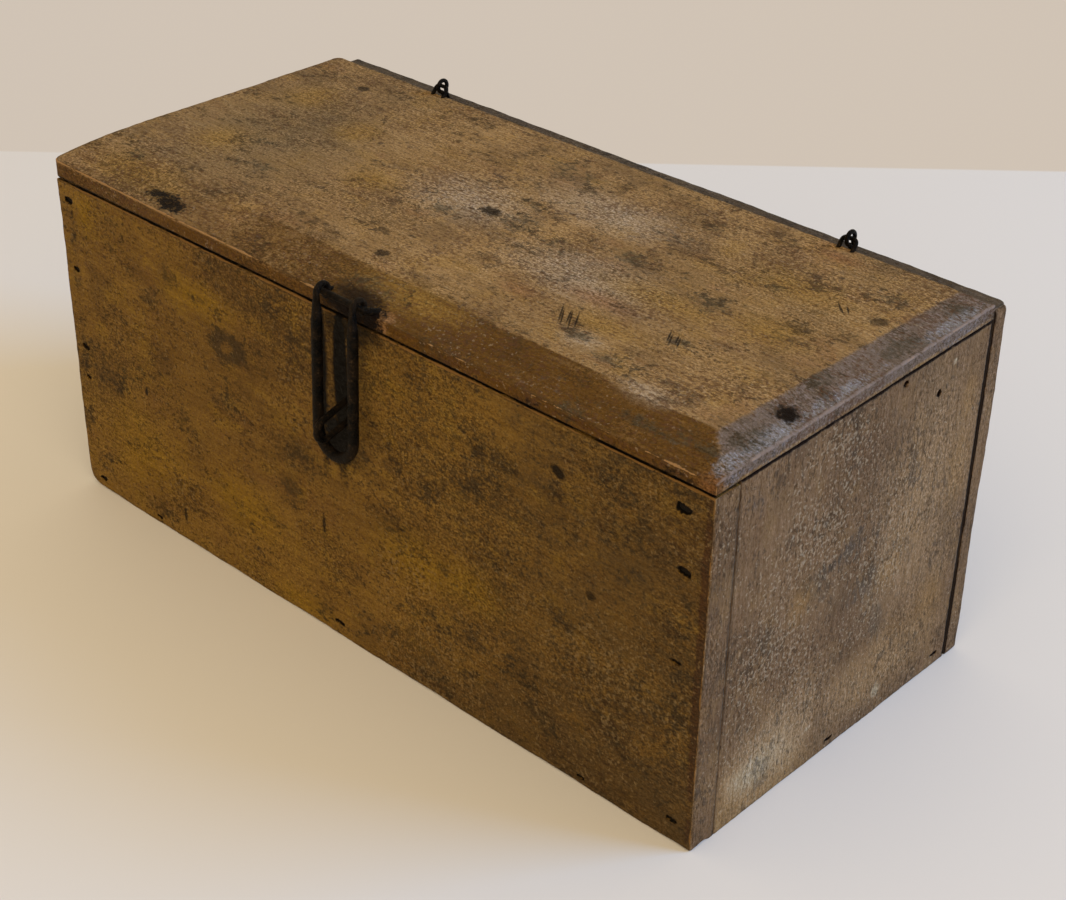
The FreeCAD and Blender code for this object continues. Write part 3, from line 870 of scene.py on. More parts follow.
# Greyer than the front: partly the cool light on the right end, painted in.
END_PAINT = PaintFinish(
    name="worn_grey_ends", grain=Axis.Z,
    light=(0.210, 0.129, 0.0695), middle=(0.163, 0.098, 0.0525), dark=(0.100, 0.061, 0.0355),
    grime=(0.050, 0.036, 0.026), stain_and_shade_tone=(0.32, 0.20, 0.085), cool_sheen_tone=(0.20, 0.16, 0.13),
    wear=(0.34, 0.24, 0.15), pale=(0.50, 0.42, 0.31), gold=(0.235, 0.145, 0.068), ruddy=(0.150, 0.083, 0.045),
    black=(0.008, 0.0030, 0.0015), grime_share=0.45, dark_share=0.5, pale_share=0.42, pull=1.9, lines=1.2,
    unevenness=1.1, shift=21.0,
    chalk=END_FACE.film(WHITE, (1.0, 0.9, 0.5), (-6, 150, 22, 22), (-40, 95, 40, 60), (20, 70, 30, 50),
                        (-65, 30, 18, 24)),
    coats=(
        END_FACE.crumbs((0.070, 0.060, 0.052), (0.6, 0.9, 3.0), (12, 80, 14, 12), (22, 50, 10, 14),
                        (-72, 160, 9, 7), (0, 105, 20, 10)),
        END_FACE.film((0.30, 0.17, 0.060), (0.55, 0.9, 4.0), (74, 109, 8, 22), (65, 43, 12, 16),
                      (27, 80, 9, 8), (76, 145, 6, 14), (-60, 20, 20, 13), (-36, 95, 8, 10),
                      (40, 30, 34, 20)),
        END_FACE.film((0.36, 0.235, 0.125), (0.62, 0.9, 4.0), (50, 110, 34, 60), (-45, 24, 44, 26),
                      (20, 25, 50, 18)),
        END_FACE.film((0.42, 0.31, 0.19), (0.50, 0.9, 5.0), (-47, 24, 24, 18)),
        Coat((0.46, 0.38, 0.26), (
            END_FACE.mark(59.5, 167.7, 1.0, 1.8), END_FACE.mark(30.5, 11.9, 3.4, 3.8, 0.7),
            END_FACE.mark(-20.3, 20, 2.6, 1.6, 0.6), END_FACE.mark(-58, 20, 16, 9, 0.60, 0.7, 7)))),
)
# Paler than the front: partly the light on the lid's top, painted in.
LID_PAINT = PaintFinish(
    name="worn_tan_lid", grain=Axis.X,
    light=(0.368, 0.226, 0.094), middle=(0.295, 0.178, 0.073), dark=(0.150, 0.088, 0.038),
    grime=(0.046, 0.028, 0.012), stain_and_shade_tone=(0.118, 0.056, 0.010), cool_sheen_tone=(0.175, 0.130, 0.104),
    wear=(0.40, 0.23, 0.10), pale=(0.46, 0.36, 0.25), gold=(0.35, 0.205, 0.060), ruddy=(0.250, 0.118, 0.060),
    black=(0.008, 0.0040, 0.0025), nick=(0.100, 0.045, 0.020), nick_from=0.79, contrast=3.5, lines=1.2,
    pale_share=0.3, shift=41.0,
    stains_and_shadows=(LID_FACE.mark(-161, 64, 2.8, 2.2, 0.8), LID_FACE.mark(-9.7, 3, 5.0, 3.2, 0.9),
            LID_FACE.mark(-13, -62, 3.2, 2.6, 0.8), LID_FACE.mark(-68, -59, 2.0, 1.8, 0.6),
            LID_FACE.mark(178, 38.5, 3.6, 3.6, 0.7), LID_FACE.mark(194, -45, 4.5, 5.0, 1.0),
            Mark((-124, -90, LID_FACE.level), (14.0, 5, 6), 1.0, 0.3, 4),
            LID_FACE.mark(18, -98, 6, 5, 1.0, 0.3, 4), LID_FACE.mark(5, -92, 11, 5, 0.85, 0.5, 4),
            Mark((5, FRONT_FACE.level, 176), (15, 2, 6), 1.0, 0.4, 2),
            LID_FACE.mark(-45, 0, 3.4, 2.6, 0.6, 0.2, 1.0, hollow=0.62),
            *LID_FACE.scratches(80.5, -49, (124, 126, 121, 125, 123), 2.2, 7.5),
            *LID_FACE.scratches(125, -33, (118, 120, 117, 119), 2.1, 4.6),
            *LID_FACE.scratches(158.5, 37, (133, 137, 130), 2.1, 4.0)),
    coats=(
        LID_FACE.film((0.195, 0.135, 0.068), (0.58, 0.9, 4.0), (-150, -10, 60, 75)),
        # Painted sheen: pale greyish patches on the lid's top.
        LID_FACE.film((0.44, 0.345, 0.245), (0.58, 0.9, 3.0), (64, -16, 38, 19), (102, -59, 10, 6),
                      (149, -73, 14, 6), (-25, 5, 30, 20), (30, 40, 40, 16)),
        LID_FACE.film((0.33, 0.190, 0.045), (0.65, 0.9, 4.0), (-162, -30, 14, 14), (-160, -80, 28, 13),
                      (-120, 22, 12, 12), (-73, -11, 16, 10), (-171, 38, 14, 14), (102, -10, 30, 9),
                      (137, 39, 26, 12), (25, -80, 30, 9), (102, -44, 20, 7), (150, 0, 20, 12)),
        LID_FACE.film((0.27, 0.115, 0.050), (0.50, 0.9, 5.0), (132, 76, 14, 5), (84, -28, 16, 6),
                      (54, -45, 10, 5), (201, -97, 7, 5)),
        # Painted highlights: pale bluish crumbs along the lower arris of the right bevel.
        LID_FACE.crumbs((0.26, 0.255, 0.27), (0.8, 0.8, 3.0), (199, -85, 5, 12), (199, -60, 4, 20),
                        (199, -20, 3, 30), (199, 60, 4, 24)),
        LID_FACE.crumbs((0.058, 0.050, 0.031), (0.58, 0.9, 3.0), (35, -2, 11, 7), (-1, 21, 9, 5),
                        (-12, 62, 24, 9), (67, 42, 12, 7), (67, 12, 10, 6), (89, 14, 16, 6), (121, 3, 12, 8),
                        (132, -33, 8, 4), (121, -64, 12, 5), (152, -62, 22, 4), (131, 32, 10, 5),
                        (73, 61, 8, 4), (99, -57, 8, 4), (129, -95, 8, 5), (160, -88, 18, 4),
                        (178, -83, 10, 5), (-141, -42, 14, 6), (-146, -18, 10, 5), (-119, -36, 10, 5),
                        (-174, -69, 12, 6), (-27, -12, 12, 6), (8, 4, 18, 9), (8, -84, 24, 7),
                        (196, -70, 7, 14), (196, 30, 7, 16), (170, 60, 14, 6), (190, -18, 6, 10),
                        (193, 72, 8, 10), (190, -86, 6, 5)),
        LID_FACE.crumbs((0.30, 0.155, 0.065), (0.9, 0.5, 5.0), (25, -95, 6, 4))),
)
EDGE_PAINT = PaintFinish(
    name="worn_brown_back", grain=Axis.X,
    light=(0.105, 0.078, 0.055), middle=(0.078, 0.058, 0.042), dark=(0.045, 0.034, 0.026),
    grime=(0.030, 0.025, 0.020), stain_and_shade_tone=(0.06, 0.045, 0.03), cool_sheen_tone=(0.1, 0.08, 0.06),
    wear=(0.20, 0.15, 0.11), pale=(0.26, 0.21, 0.16), gold=(0.11, 0.08, 0.05), ruddy=(0.09, 0.06, 0.04),
    shift=61.0,
)
WIRE_IRON = IronFinish("black_iron")
NAIL_IRON = IronFinish("rusty_nails", black=(0.008, 0.007, 0.006), crust_share=0.5)


# ---------------------------------------------------------------- the workshop


def weathering() -> GeometryBench:
    """The tree that makes a board's shown faces uneven: hollow, planed by hand and chipped at its arrises.

    Returns:
        The finished tree.
    """
    bench = GeometryBench("weathering", {
        "Seed": ("NodeSocketVector", (0.0, 0.0, 0.0)),
        "Hollow": ("NodeSocketFloat", 0.55 * MM),
        "Planing": ("NodeSocketFloat", 0.16 * MM),
        "Chips": ("NodeSocketFloat", 0.75 * MM),
    })
    seed = bench.given("Seed")
    shown, arris = (bench.add("GeometryNodeInputNamedAttribute", {"data_type": "FLOAT"}, Name=name).outputs[0]
                    for name in ("shown", "arris"))
    sag = bench.swell(11, 1, seed, bench.given("Hollow"))
    planed = bench.swell(120, 3, seed, bench.given("Planing"))
    chips = bench.math("MULTIPLY", bench.swell(260, 4, seed, bench.math("POWER", arris, 6.0)),
                       bench.given("Chips"))
    total = bench.math("ADD", bench.math("ADD", sag, planed), chips)
    moved = bench.push(bench.given("Geometry"), bench.math("MULTIPLY", total, shown))
    bench.feed(bench.exit.inputs[0], bench.add("GeometryNodeRealizeInstances", Geometry=moved).outputs[0])
    return bench


def forging() -> GeometryBench:
    """The tree that makes hammered wire along a path, thicker and thinner by its points' radii.

    Returns:
        The finished tree.
    """
    bench = GeometryBench("forging", {
        "Thickness": ("NodeSocketFloat", 3.0 * MM),
        "Hammering": ("NodeSocketFloat", 0.30 * MM),
        "Pitting": ("NodeSocketFloat", 0.12 * MM),
        "Spacing": ("NodeSocketFloat", 0.35 * MM),
        "Sides": ("NodeSocketInt", 18),
        "Seed": ("NodeSocketVector", (0.0, 0.0, 0.0)),
        "Material": ("NodeSocketMaterial", None),
    })
    line = bench.add("GeometryNodeResampleCurve", {"mode": "LENGTH"}, Curve=bench.given("Geometry"),
                     Length=bench.given("Spacing")).outputs[0]
    ring = bench.add("GeometryNodeCurvePrimitiveCircle", Resolution=bench.given("Sides"),
                     Radius=bench.math("MULTIPLY", bench.given("Thickness"), 0.5)).outputs[0]
    bar = bench.add("GeometryNodeCurveToMesh", Curve=line, Profile_Curve=ring, Fill_Caps=True)
    if "Scale" in bar.inputs:
        bench.feed(bar.inputs["Scale"], bench.add("GeometryNodeInputRadius").outputs[0])
    seed = bench.given("Seed")
    dents = bench.swell(230, 2, seed, bench.given("Hammering"))
    pits = bench.swell(1100, 4, seed, bench.given("Pitting"))
    bench.close(bench.push(bar.outputs[0], bench.math("ADD", dents, pits)))
    return bench


def nailing() -> GeometryBench:
    """The tree that stands a cut nail, head outward, at each point of a mesh.

    Returns:
        The finished tree.
    """
    bench = GeometryBench("nailing", {
        "Wide": ("NodeSocketFloat", 5.6 * MM),
        "Thick": ("NodeSocketFloat", 2.5 * MM),
        "Long": ("NodeSocketFloat", 30 * MM),
        "Twist": ("NodeSocketFloat", 0.22),
        "Turn": ("NodeSocketRotation", (0.0, 0.0, 0.0)),
        "Seed": ("NodeSocketInt", 1),
        "Material": ("NodeSocketMaterial", None),
    })
    shank = bench.add("GeometryNodeMeshCone", Vertices=4, Side_Segments=12, Fill_Segments=3,
                      Radius_Top=0.36, Radius_Bottom=0.7071, Depth=bench.given("Long")).outputs[0]
    square = bench.add("GeometryNodeTransform", Geometry=shank, Rotation=(0.0, 0.0, math.radians(45)))
    size = bench.add("ShaderNodeCombineXYZ", X=bench.given("Wide"), Y=bench.given("Thick"), Z=1.0)
    wedge = bench.add("GeometryNodeTransform", Geometry=square.outputs[0], Scale=size.outputs[0])
    finer = bench.add("GeometryNodeSubdivideMesh", Mesh=wedge.outputs[0], Level=2).outputs[0]
    turned = bench.add("FunctionNodeRandomValue", {"data_type": "FLOAT"}, Seed=bench.given("Seed"))
    bench.feed(turned.inputs[2], bench.math("MULTIPLY", bench.given("Twist"), -1.0))
    bench.feed(turned.inputs[3], bench.given("Twist"))
    spin = bench.add("ShaderNodeCombineXYZ", Z=turned.outputs[1]).outputs[0]
    twist = bench.add("FunctionNodeEulerToRotation", Euler=spin).outputs[0]
    aim = bench.add("FunctionNodeRotateRotation", {"rotation_space": "LOCAL"}, Rotation=bench.given("Turn"),
                    Rotate_By=twist).outputs[0]
    nails = bench.add("GeometryNodeInstanceOnPoints", Points=bench.given("Geometry"), Instance=finer,
                      Rotation=aim).outputs[0]
    real = bench.add("GeometryNodeRealizeInstances", Geometry=nails).outputs[0]
    bench.close(bench.push(real, bench.swell(700, 3, (0.0, 0.0, 0.0), 0.5 * MM)))
    return bench


@dataclass
class Workshop:
    """The trees and finished materials that every sub-assembly shares."""

    weather: GeometryBench = field(default_factory=weathering)
    forge: GeometryBench = field(default_factory=forging)
    nailer: GeometryBench = field(default_factory=nailing)
    made: dict[object, bpy.types.Material] = field(default_factory=dict)

    def material(self, finish: PaintFinish | BareWoodFinish | IronFinish) -> bpy.types.Material:
        """A finish's material, built the first time that it is asked for.

        Args:
            finish: The finish.

        Returns:
            Its material.
        """
        if finish not in self.made:
            self.made[finish] = finish.build()
        return self.made[finish]

    def hand_over(self, piece: bpy.types.Object, body: Body, slot: str, *nodes: str) -> None:
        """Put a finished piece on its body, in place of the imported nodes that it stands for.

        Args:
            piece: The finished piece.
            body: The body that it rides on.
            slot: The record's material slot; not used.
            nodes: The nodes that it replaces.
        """
        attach(piece, body.value)
        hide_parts(*nodes)
        LOG.info("%s: %d faces, on %s, for %s", piece.name, len(piece.data.polygons), body.value,
                 ", ".join(nodes))

    def wire(self, node: str, body: Body, points: Sequence[Vector], radii: Sequence[float],
             **sizes: object) -> None:
        """Forge a wire along a line and put it on its body.

        Args:
            node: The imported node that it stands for.
            body: The body that it rides on.
            points: The wire's line.
            radii: The share of its full thickness at each point.
            sizes: The forging tree's inputs, by name.
        """
        curve = bpy.data.curves.new(node + "_path", "CURVE")
        curve.dimensions = "3D"
        spline = curve.splines.new("POLY")
        spline.points.add(len(points) - 1)
        for place, point, radius in zip(spline.points, points, radii):
            place.co = (*point, 1.0)
            place.radius = radius
        piece = self.forge.bake(placed(node + "_path", curve), node + "_iron",
                                Material=self.material(WIRE_IRON), **sizes)
        self.hand_over(piece, body, "dark_iron", node)


# ---------------------------------------------------------------- worn boards


def islands(node: str) -> list[tuple[Vector, Vector]]:
    """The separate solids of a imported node.

    Args:
        node: The node's name.

    Returns:
        For each solid, its lowest and highest corner.
    """
    work = bmesh.new()
    work.from_mesh(frame["nodes"][node].data)
    bmesh.ops.remove_doubles(work, verts=work.verts, dist=1e-6)
    left, boxes = set(work.verts), []
    while left:
        group, edge = [], [left.pop()]
        while edge:
            vertex = edge.pop()
            group.append(vertex.co.copy())
            linked = {link.other_vert(vertex) for link in vertex.link_edges} & left
            left -= linked
            edge.extend(linked)
        boxes.append((Vector(map(min, *group)), Vector(map(max, *group))))
    work.free()
    return boxes


def graded(low: float, high: float, step: float, fine: float, spots: Iterable[tuple[float, float]],
           growth: float = 0.30) -> np.ndarray:
    """Places of a lattice's lines along one axis, closer together at its ends and at chosen spots.

    Args:
        low: The first line.
        high: The last line.
        step: The widest spacing.
        fine: The closest spacing.
        spots: For each spot, its place and half width.
        growth: How fast the spacing widens away from a spot.

    Returns:
        The places, in order.
    """
    spots = [(low, 1.5 * MM), (high, 1.5 * MM), *spots]
    lines = [low]
    while lines[-1] < high:
        gap = min(max(0.0, abs(lines[-1] - place) - half) for place, half in spots)
        lines.append(lines[-1] + min(step, fine + growth * gap))
    lines = np.array(lines)
    return low + (lines - low) * (high - low) / (lines[-1] - low)


def ripple(points: np.ndarray, wavelength: float, seed: int, count: int = 7) -> np.ndarray:
    """Smooth waves through space, the same each run.

    Args:
        points: The points, in metres.
        wavelength: About how long the waves are.
        seed: Which waves.
        count: How many are added up.

    Returns:
        A number for each point, about -1 to 1.
    """
    draw = np.random.default_rng(seed)
    ways = draw.normal(size=(count, 3))
    ways /= np.linalg.norm(ways, axis=1)[:, None]
    ways *= 2 * np.pi / (wavelength * draw.uniform(0.6, 1.6, (count, 1)))
    return np.sin(points @ ways.T + draw.uniform(0, 2 * np.pi, count)).sum(axis=1) / math.sqrt(count)


def turn_corner(points: np.ndarray, axes: tuple[int, int], corner: tuple[float, float],
                ways: tuple[int, int], radius: float) -> np.ndarray:
    """Wear one corner of a board round, drawing the lattice in with it.

    Args:
        points: The board's points.
        axes: The two axes of the corner's plane.
        corner: Where the corner is in that plane.
        ways: The direction from the corner into the board, along each axis.
        radius: How round it is worn.

    Returns:
        The moved points.
    """
    centre = [place + way * radius for place, way in zip(corner, ways)]
    across = [(points[:, axis] - middle) * -way for axis, middle, way in zip(axes, centre, ways)]
    inside = (across[0] > 0) & (across[1] > 0)
    length = np.maximum(np.hypot(across[0], across[1]), 1e-9)
    shrink = np.where(inside, np.maximum(across[0], across[1]) / length, 1.0)
    moved = points.copy()
    for axis, middle in zip(axes, centre):
        moved[:, axis] = middle + (points[:, axis] - middle) * shrink
    return moved


@dataclass
class Recess:
    """A small hollow in a board's outer face."""

    centre: Vector
    half: tuple[float, float]
    depth: float


@dataclass
class WornBoard:
    """A board with softened arrises, hollows at its nails and an uneven face."""

    node: str
    side: Side
    painted: dict[Side, PaintFinish] = field(default_factory=dict)
    bare: BareWoodFinish = BareWoodFinish()
    recesses: list[Recess] = field(default_factory=list)
    body: Body = Body.BOX
    slot: str = "worn_paint_walls"
    arris: float = 1.3 * MM
    sharp_arris: float = 0.25 * MM
    worn_reach: float = 3.2 * MM
    worn_waves: tuple[tuple[float, float], ...] = ((45 * MM, 0.28), (12 * MM, 0.18))
    worn_range: tuple[float, float] = (0.45, 2.2)
    recess_margin: float = 1.0 * MM
    recess_wave: float = 3.4 * MM
    recess_ragging: float = 0.24
    recess_edge: tuple[float, float] = (1.15, 0.75)
    stain_edge: tuple[float, float] = (1.55, 0.85)
    step: float = 2.4 * MM
    fine: float = 0.42 * MM
    seed: int = 1

    def __post_init__(self) -> None:
        """Take the board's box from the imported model."""
        self.low, self.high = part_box(self.node)

    def inset(self, points: np.ndarray, side: Side) -> np.ndarray:
        """How far in from one of the board's sides each point is, in millimetres."""
        return ((self.low, self.high)[side % 2][side.axis] - points[:, side.axis]) * side.sign / MM

    def tight(self, points: np.ndarray) -> np.ndarray:
        """Where the arrises are still sharp, because another board meets them."""
        return np.zeros(len(points))

    def tints(self, points: np.ndarray) -> dict[str, np.ndarray]:
        """Levels of stain and painted shade, painted cool sheen, wear, painted highlight and black from iron
        staining and painted seam shade that differ over the board.
        """
        return {}

    def shape(self, points: np.ndarray) -> np.ndarray:
        """Bring the square lattice to the board's own shape."""
        return points

    def _flat(self) -> list[int]:
        """The two axes of the outer face."""
        return [number for number in range(3) if number != self.side.axis]

    def _lines(self, axis: int) -> np.ndarray:
        """The lattice's lines along one axis.

        Args:
            axis: The axis.

        Returns:
            The places of the lines.
        """
        spots = []
        if axis in self._flat():
            spots = [(hollow.centre[axis], hollow.half[self._flat().index(axis)] + self.recess_margin)
                     for hollow in self.recesses]
        return graded(self.low[axis], self.high[axis], self.step, self.fine, spots)

    def _lattice(self) -> tuple[np.ndarray, np.ndarray, np.ndarray]:
        """The surface lattice.

        Returns:
            The points, the four-sided faces, and which of the six sides each face is on.
        """
        lines = [self._lines(axis) for axis in range(3)]
        shell = np.ones([len(line) for line in lines], bool)
        shell[1:-1, 1:-1, 1:-1] = False
        number = np.full(shell.shape, -1)
        number[shell] = np.arange(shell.sum())
        points = np.stack([line[index] for line, index in zip(lines, np.nonzero(shell))], axis=1)
        faces, sides = [], []
        for side in Side:
            sheet = np.take(number, -(side % 2), axis=side.axis)
            quads = np.stack([sheet[:-1, :-1], sheet[1:, :-1], sheet[1:, 1:], sheet[:-1, 1:]], axis=-1)
            quads = quads.reshape(-1, 4)
            if (side.sign < 0) != (side.axis == Axis.Y.value):
                quads = quads[:, ::-1]
            faces.append(quads)
            sides.append(np.full(len(quads), int(side)))
        return points, np.concatenate(faces), np.concatenate(sides)

    def _soften(self, points: np.ndarray) -> tuple[np.ndarray, np.ndarray]:
        """Round the arrises, more where hands and knocks have worn them.

        Args:
            points: The lattice's points.

        Returns:
            The moved points, and how near each is to an arris.
        """
        low, high = np.array(self.low), np.array(self.high)
        worn = np.ones(len(points))
        for number, (wavelength, share) in enumerate(self.worn_waves):
            worn += share * ripple(points, wavelength, self.seed + 5 * number)
        radius = self.arris * np.clip(worn, *self.worn_range)
        radius = (radius + (self.sharp_arris - radius) * self.tight(points))[:, None]
        near = np.sort(np.minimum(points - low, high - points), axis=1)[:, 1]
        core = np.clip(points, low + radius, high - radius)
        away = points - core
        length = np.linalg.norm(away, axis=1)[:, None]
        return core + away / length * radius, np.clip(1 - near / self.worn_reach, 0, 1)

    def _sink(self, points: np.ndarray, power: float = 2.4) -> tuple[np.ndarray, np.ndarray]:
        """Press the hollows into the outer face.

        Args:
            points: The board's points.
            power: How square the hollows are.

        Returns:
            The moved points, and how black the iron has stained each.
        """
        moved, iron = points.copy(), np.zeros(len(points))
        on_face = np.abs(self.inset(points, self.side)) < 0.2
        for hollow in self.recesses:
            across = [np.abs((points[:, number] - hollow.centre[number]) / half) ** power
                      for number, half in zip(self._flat(), hollow.half)]
            ragged = self.recess_ragging * ripple(points, self.recess_wave, self.seed + 31)
            reach = sum(across) ** (1 / power) + ragged
            depth = hollow.depth * smooth(reach, *self.recess_edge)
            moved[:, self.side.axis] -= self.side.sign * depth * on_face
            iron = np.maximum(iron, smooth(reach, *self.stain_edge) * on_face)
        return moved, iron

    def build(self, shop: Workshop) -> None:
        """Make the board and put it on its body.

        Args:
            shop: The shared trees and finishes.
        """
        name = self.node.removesuffix("_board") + "_worn"
        points, faces, sides = self._lattice()
        points, arris = self._soften(points)
        points, iron = self._sink(points)
        fields = {label: np.zeros(len(points)) for label in ("smoked", "greyed", "gleam", "shown")}
        fields |= {"arris": arris, "iron": iron}
        fields["shown"][np.unique(faces[np.isin(sides, list(self.painted))])] = 1.0
        for label, values in self.tints(points).items():
            fields[label] = np.maximum(fields[label], values)
        finishes = list(dict.fromkeys(self.painted.values()))
        for finish in finishes:
            fields |= {label: coat.spread(points) for label, coat in finish.layers().items()}
        mesh = bpy.data.meshes.new(name)
        mesh.from_pydata(self.shape(points).tolist(), [], faces.tolist())
        for label, values in fields.items():
            mesh.attributes.new(label, "FLOAT", "POINT").data.foreach_set("value", values.astype(np.float32))
        for finish in (self.bare, *finishes):
            mesh.materials.append(shop.material(finish))
        slots = [finishes.index(self.painted[side]) + 1 if side in self.painted else 0 for side in Side]
        mesh.polygons.foreach_set("material_index", np.array(slots)[sides])
        mesh.shade_smooth()
        piece = shop.weather.bake(placed(name + "_rough", mesh), name,
                                  Seed=(self.seed * 3.7, self.seed * 1.3, 0.0))
        shop.hand_over(piece, self.body, self.slot, self.node)


# ---------------------------------------------------------------- wire


def arc_points(centre: Vector, start: Vector, side: Vector, turn: float, step: float = 7.5) -> list[Vector]:
    """Points along an arc.

    Args:
        centre: The arc's centre.
        start: From the centre to its first point.
        side: The direction that it leaves in, as long as the radius.
        turn: How far it goes round, in radians.
        step: Degrees between points.

    Returns:
        The points.
    """
    count = max(2, math.ceil(turn / math.radians(step)))
    angles = [turn * index / count for index in range(count + 1)]
    return [centre + start * math.cos(angle) + side * math.sin(angle) for angle in angles]


def bent_line(corners: Sequence[Vector], bends: Sequence[float]) -> list[Vector]:
    """Points along a wire with its inner corners bent to radii.

    Args:
        corners: Where its straight runs would meet.
        bends: The radius at each inner corner.

    Returns:
        The points.
    """
    points = [corners[0]]
    for before, corner, after, bend in zip(corners, corners[1:], corners[2:], bends):
        inward, outward = (corner - before).normalized(), (after - corner).normalized()
        turn = inward.angle(outward)
        aside = inward.cross(outward).cross(inward).normalized()
        first = corner - inward * bend * math.tan(turn / 2)
        points += arc_points(first + aside * bend, aside * -bend, inward * bend, turn)
    points.append(corners[-1])
    return [point for index, point in enumerate(points)
            if index == 0 or (point - points[index - 1]).length > 1e-7]


def pointed(points: Sequence[Vector], length: float, tip: float = 0.45) -> list[float]:
    """Shares of a wire's thickness that draw both of its ends out to blunt points.

    Args:
        points: The wire's line.
        length: How long each point is.
        tip: The share left at the very end.

    Returns:
        The share at each point of the line.
    """
    runs = [0.0]
    for before, after in zip(points, points[1:]):
        runs.append(runs[-1] + (after - before).length)
    return [tip + (1 - tip) * min(1.0, min(run, runs[-1] - run) / length) for run in runs]


@dataclass(frozen=True)
class Clinch:
    """How a leg that comes through a board is bent over: its length, its bend, and how far it bites in."""

    length: float = 9 * MM
    bend: float = 2.6 * MM
    bite: float = 0.4 * MM


CLINCH = Clinch()


# ---------------------------------------------------------------- the nailed box


@dataclass
class NailFace:
    """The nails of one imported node, all driven through one side."""

    node: str
    side: Side
    sizes: tuple[tuple[float, float], ...] = ((0.8, 0.55),) * 5
    half: tuple[float, float] = (3.0 * MM, 1.45 * MM)
    hollow: float = 1.7 * MM
    sunk: float = 1.1 * MM
    long: float = 30 * MM

    def heads(self) -> list[Vector]:
        """The middle of each nail's head, on the face, the highest first."""
        axis, found = self.side.axis, []
        for box in islands(self.node):
            head = (box[0] + box[1]) / 2
            head[axis] = box[self.side % 2][axis]
            found.append(head)
        return sorted(found, key=lambda head: (-round(head.z, 3), head.x, head.y))

    def recesses(self) -> list[Recess]:
        """The hollows that the nails sit in."""
        return [Recess(head, (self.half[0] * wide, self.half[1] * tall), self.hollow)
                for head, (wide, tall) in zip(self.heads(), self.sizes)]

    def build(self, shop: Workshop, seed: int) -> None:
        """Make the nails and put them on the box.

        Args:
            shop: The shared trees and finishes.
            seed: Which way each is twisted.
        """
        inward = Vector((0.0, 0.0, 0.0))
        inward[self.side.axis] = -self.side.sign
        mesh = bpy.data.meshes.new(self.node + "_points")
        mesh.from_pydata([head + inward * self.sunk for head in self.heads()], [], [])
        yaw = math.atan2(inward.y, inward.x) - math.pi / 2
        turn = Matrix.Rotation(yaw, 3, "Z") @ Matrix.Rotation(-math.pi / 2, 3, "X")
        piece = shop.nailer.bake(placed(self.node + "_points", mesh), self.node + "_iron", Long=self.long,
                                 Turn=turn.to_euler(), Seed=seed, Material=shop.material(NAIL_IRON))
        shop.hand_over(piece, Body.BOX, "nail_iron", self.node)


@dataclass
class FrontBoard(WornBoard):
    """The front board, with its worn bottom left corner."""

    corner_wear: float = 9.0 * MM

    def tight(self, points: np.ndarray) -> np.ndarray:
        """The inner arrises, which the ends meet."""
        return smooth(self.inset(points, Side.REAR), 5, 2)

    def tints(self, points: np.ndarray) -> dict[str, np.ndarray]:
        """Darker to the right and low down, black along the joints with the lid and the ends as painted shade
        in the seams.

        Args:
            points: The board's points.

        Returns:
            The levels that differ over it.
        """
        across, up = points[:, 0] / MM, points[:, 2] / MM
        left, right, front, rear, _, top = (self.inset(points, side) for side in Side)
        shown = smooth(front, 1.5, 0.3)
        smoked = 0.62 * smooth(across, -60, 170) + 0.25 * smooth(up, 50, 0) * (across > 0)
        # Painted shade in the seams: under the lid along the top, and on the inner face where the ends meet
        # it.
        joint = smooth(top, 0.5, 0.05) * smooth(front, 3.0, 1.0)
        rubbed = np.maximum(smooth(top, 1.7, 0.8), 0.9 * smooth(right, 1.5, 0.6))
        behind = smooth(rear, 1.0, 0.4) * smooth(np.minimum(left, right), 3, 1)
        return {"smoked": smoked * shown, "iron": np.maximum(0.8 * joint, 0.55 * behind),
                "arris": 1.2 * rubbed * shown}

    def shape(self, points: np.ndarray) -> np.ndarray:
        """Round the bottom left corner."""
        return turn_corner(points, (0, 2), (self.low.x, self.low.z), (1, 1), self.corner_wear)


@dataclass
class BackBoard(WornBoard):
    """The back board, with its top corners knocked round."""

    corner_wear: tuple[float, float] = (2.4 * MM, 4.0 * MM)

    def tints(self, points: np.ndarray) -> dict[str, np.ndarray]:
        """Black along the joint with the ends, as painted shade in the seam."""
        outer = np.minimum(*(self.inset(points, side) for side in (Side.LEFT, Side.RIGHT)))
        return {"iron": smooth(outer, 4, 2) * smooth(self.inset(points, Side.FRONT), 1.5, 0.4)}

    def shape(self, points: np.ndarray) -> np.ndarray:
        """Round both top corners.

        Args:
            points: The lattice's points.

        Returns:
            The moved points.
        """
        for place, way, radius in zip((self.low.x, self.high.x), (1, -1), self.corner_wear):
            points = turn_corner(points, (0, 2), (place, self.high.z), (way, -1), radius)
        return points


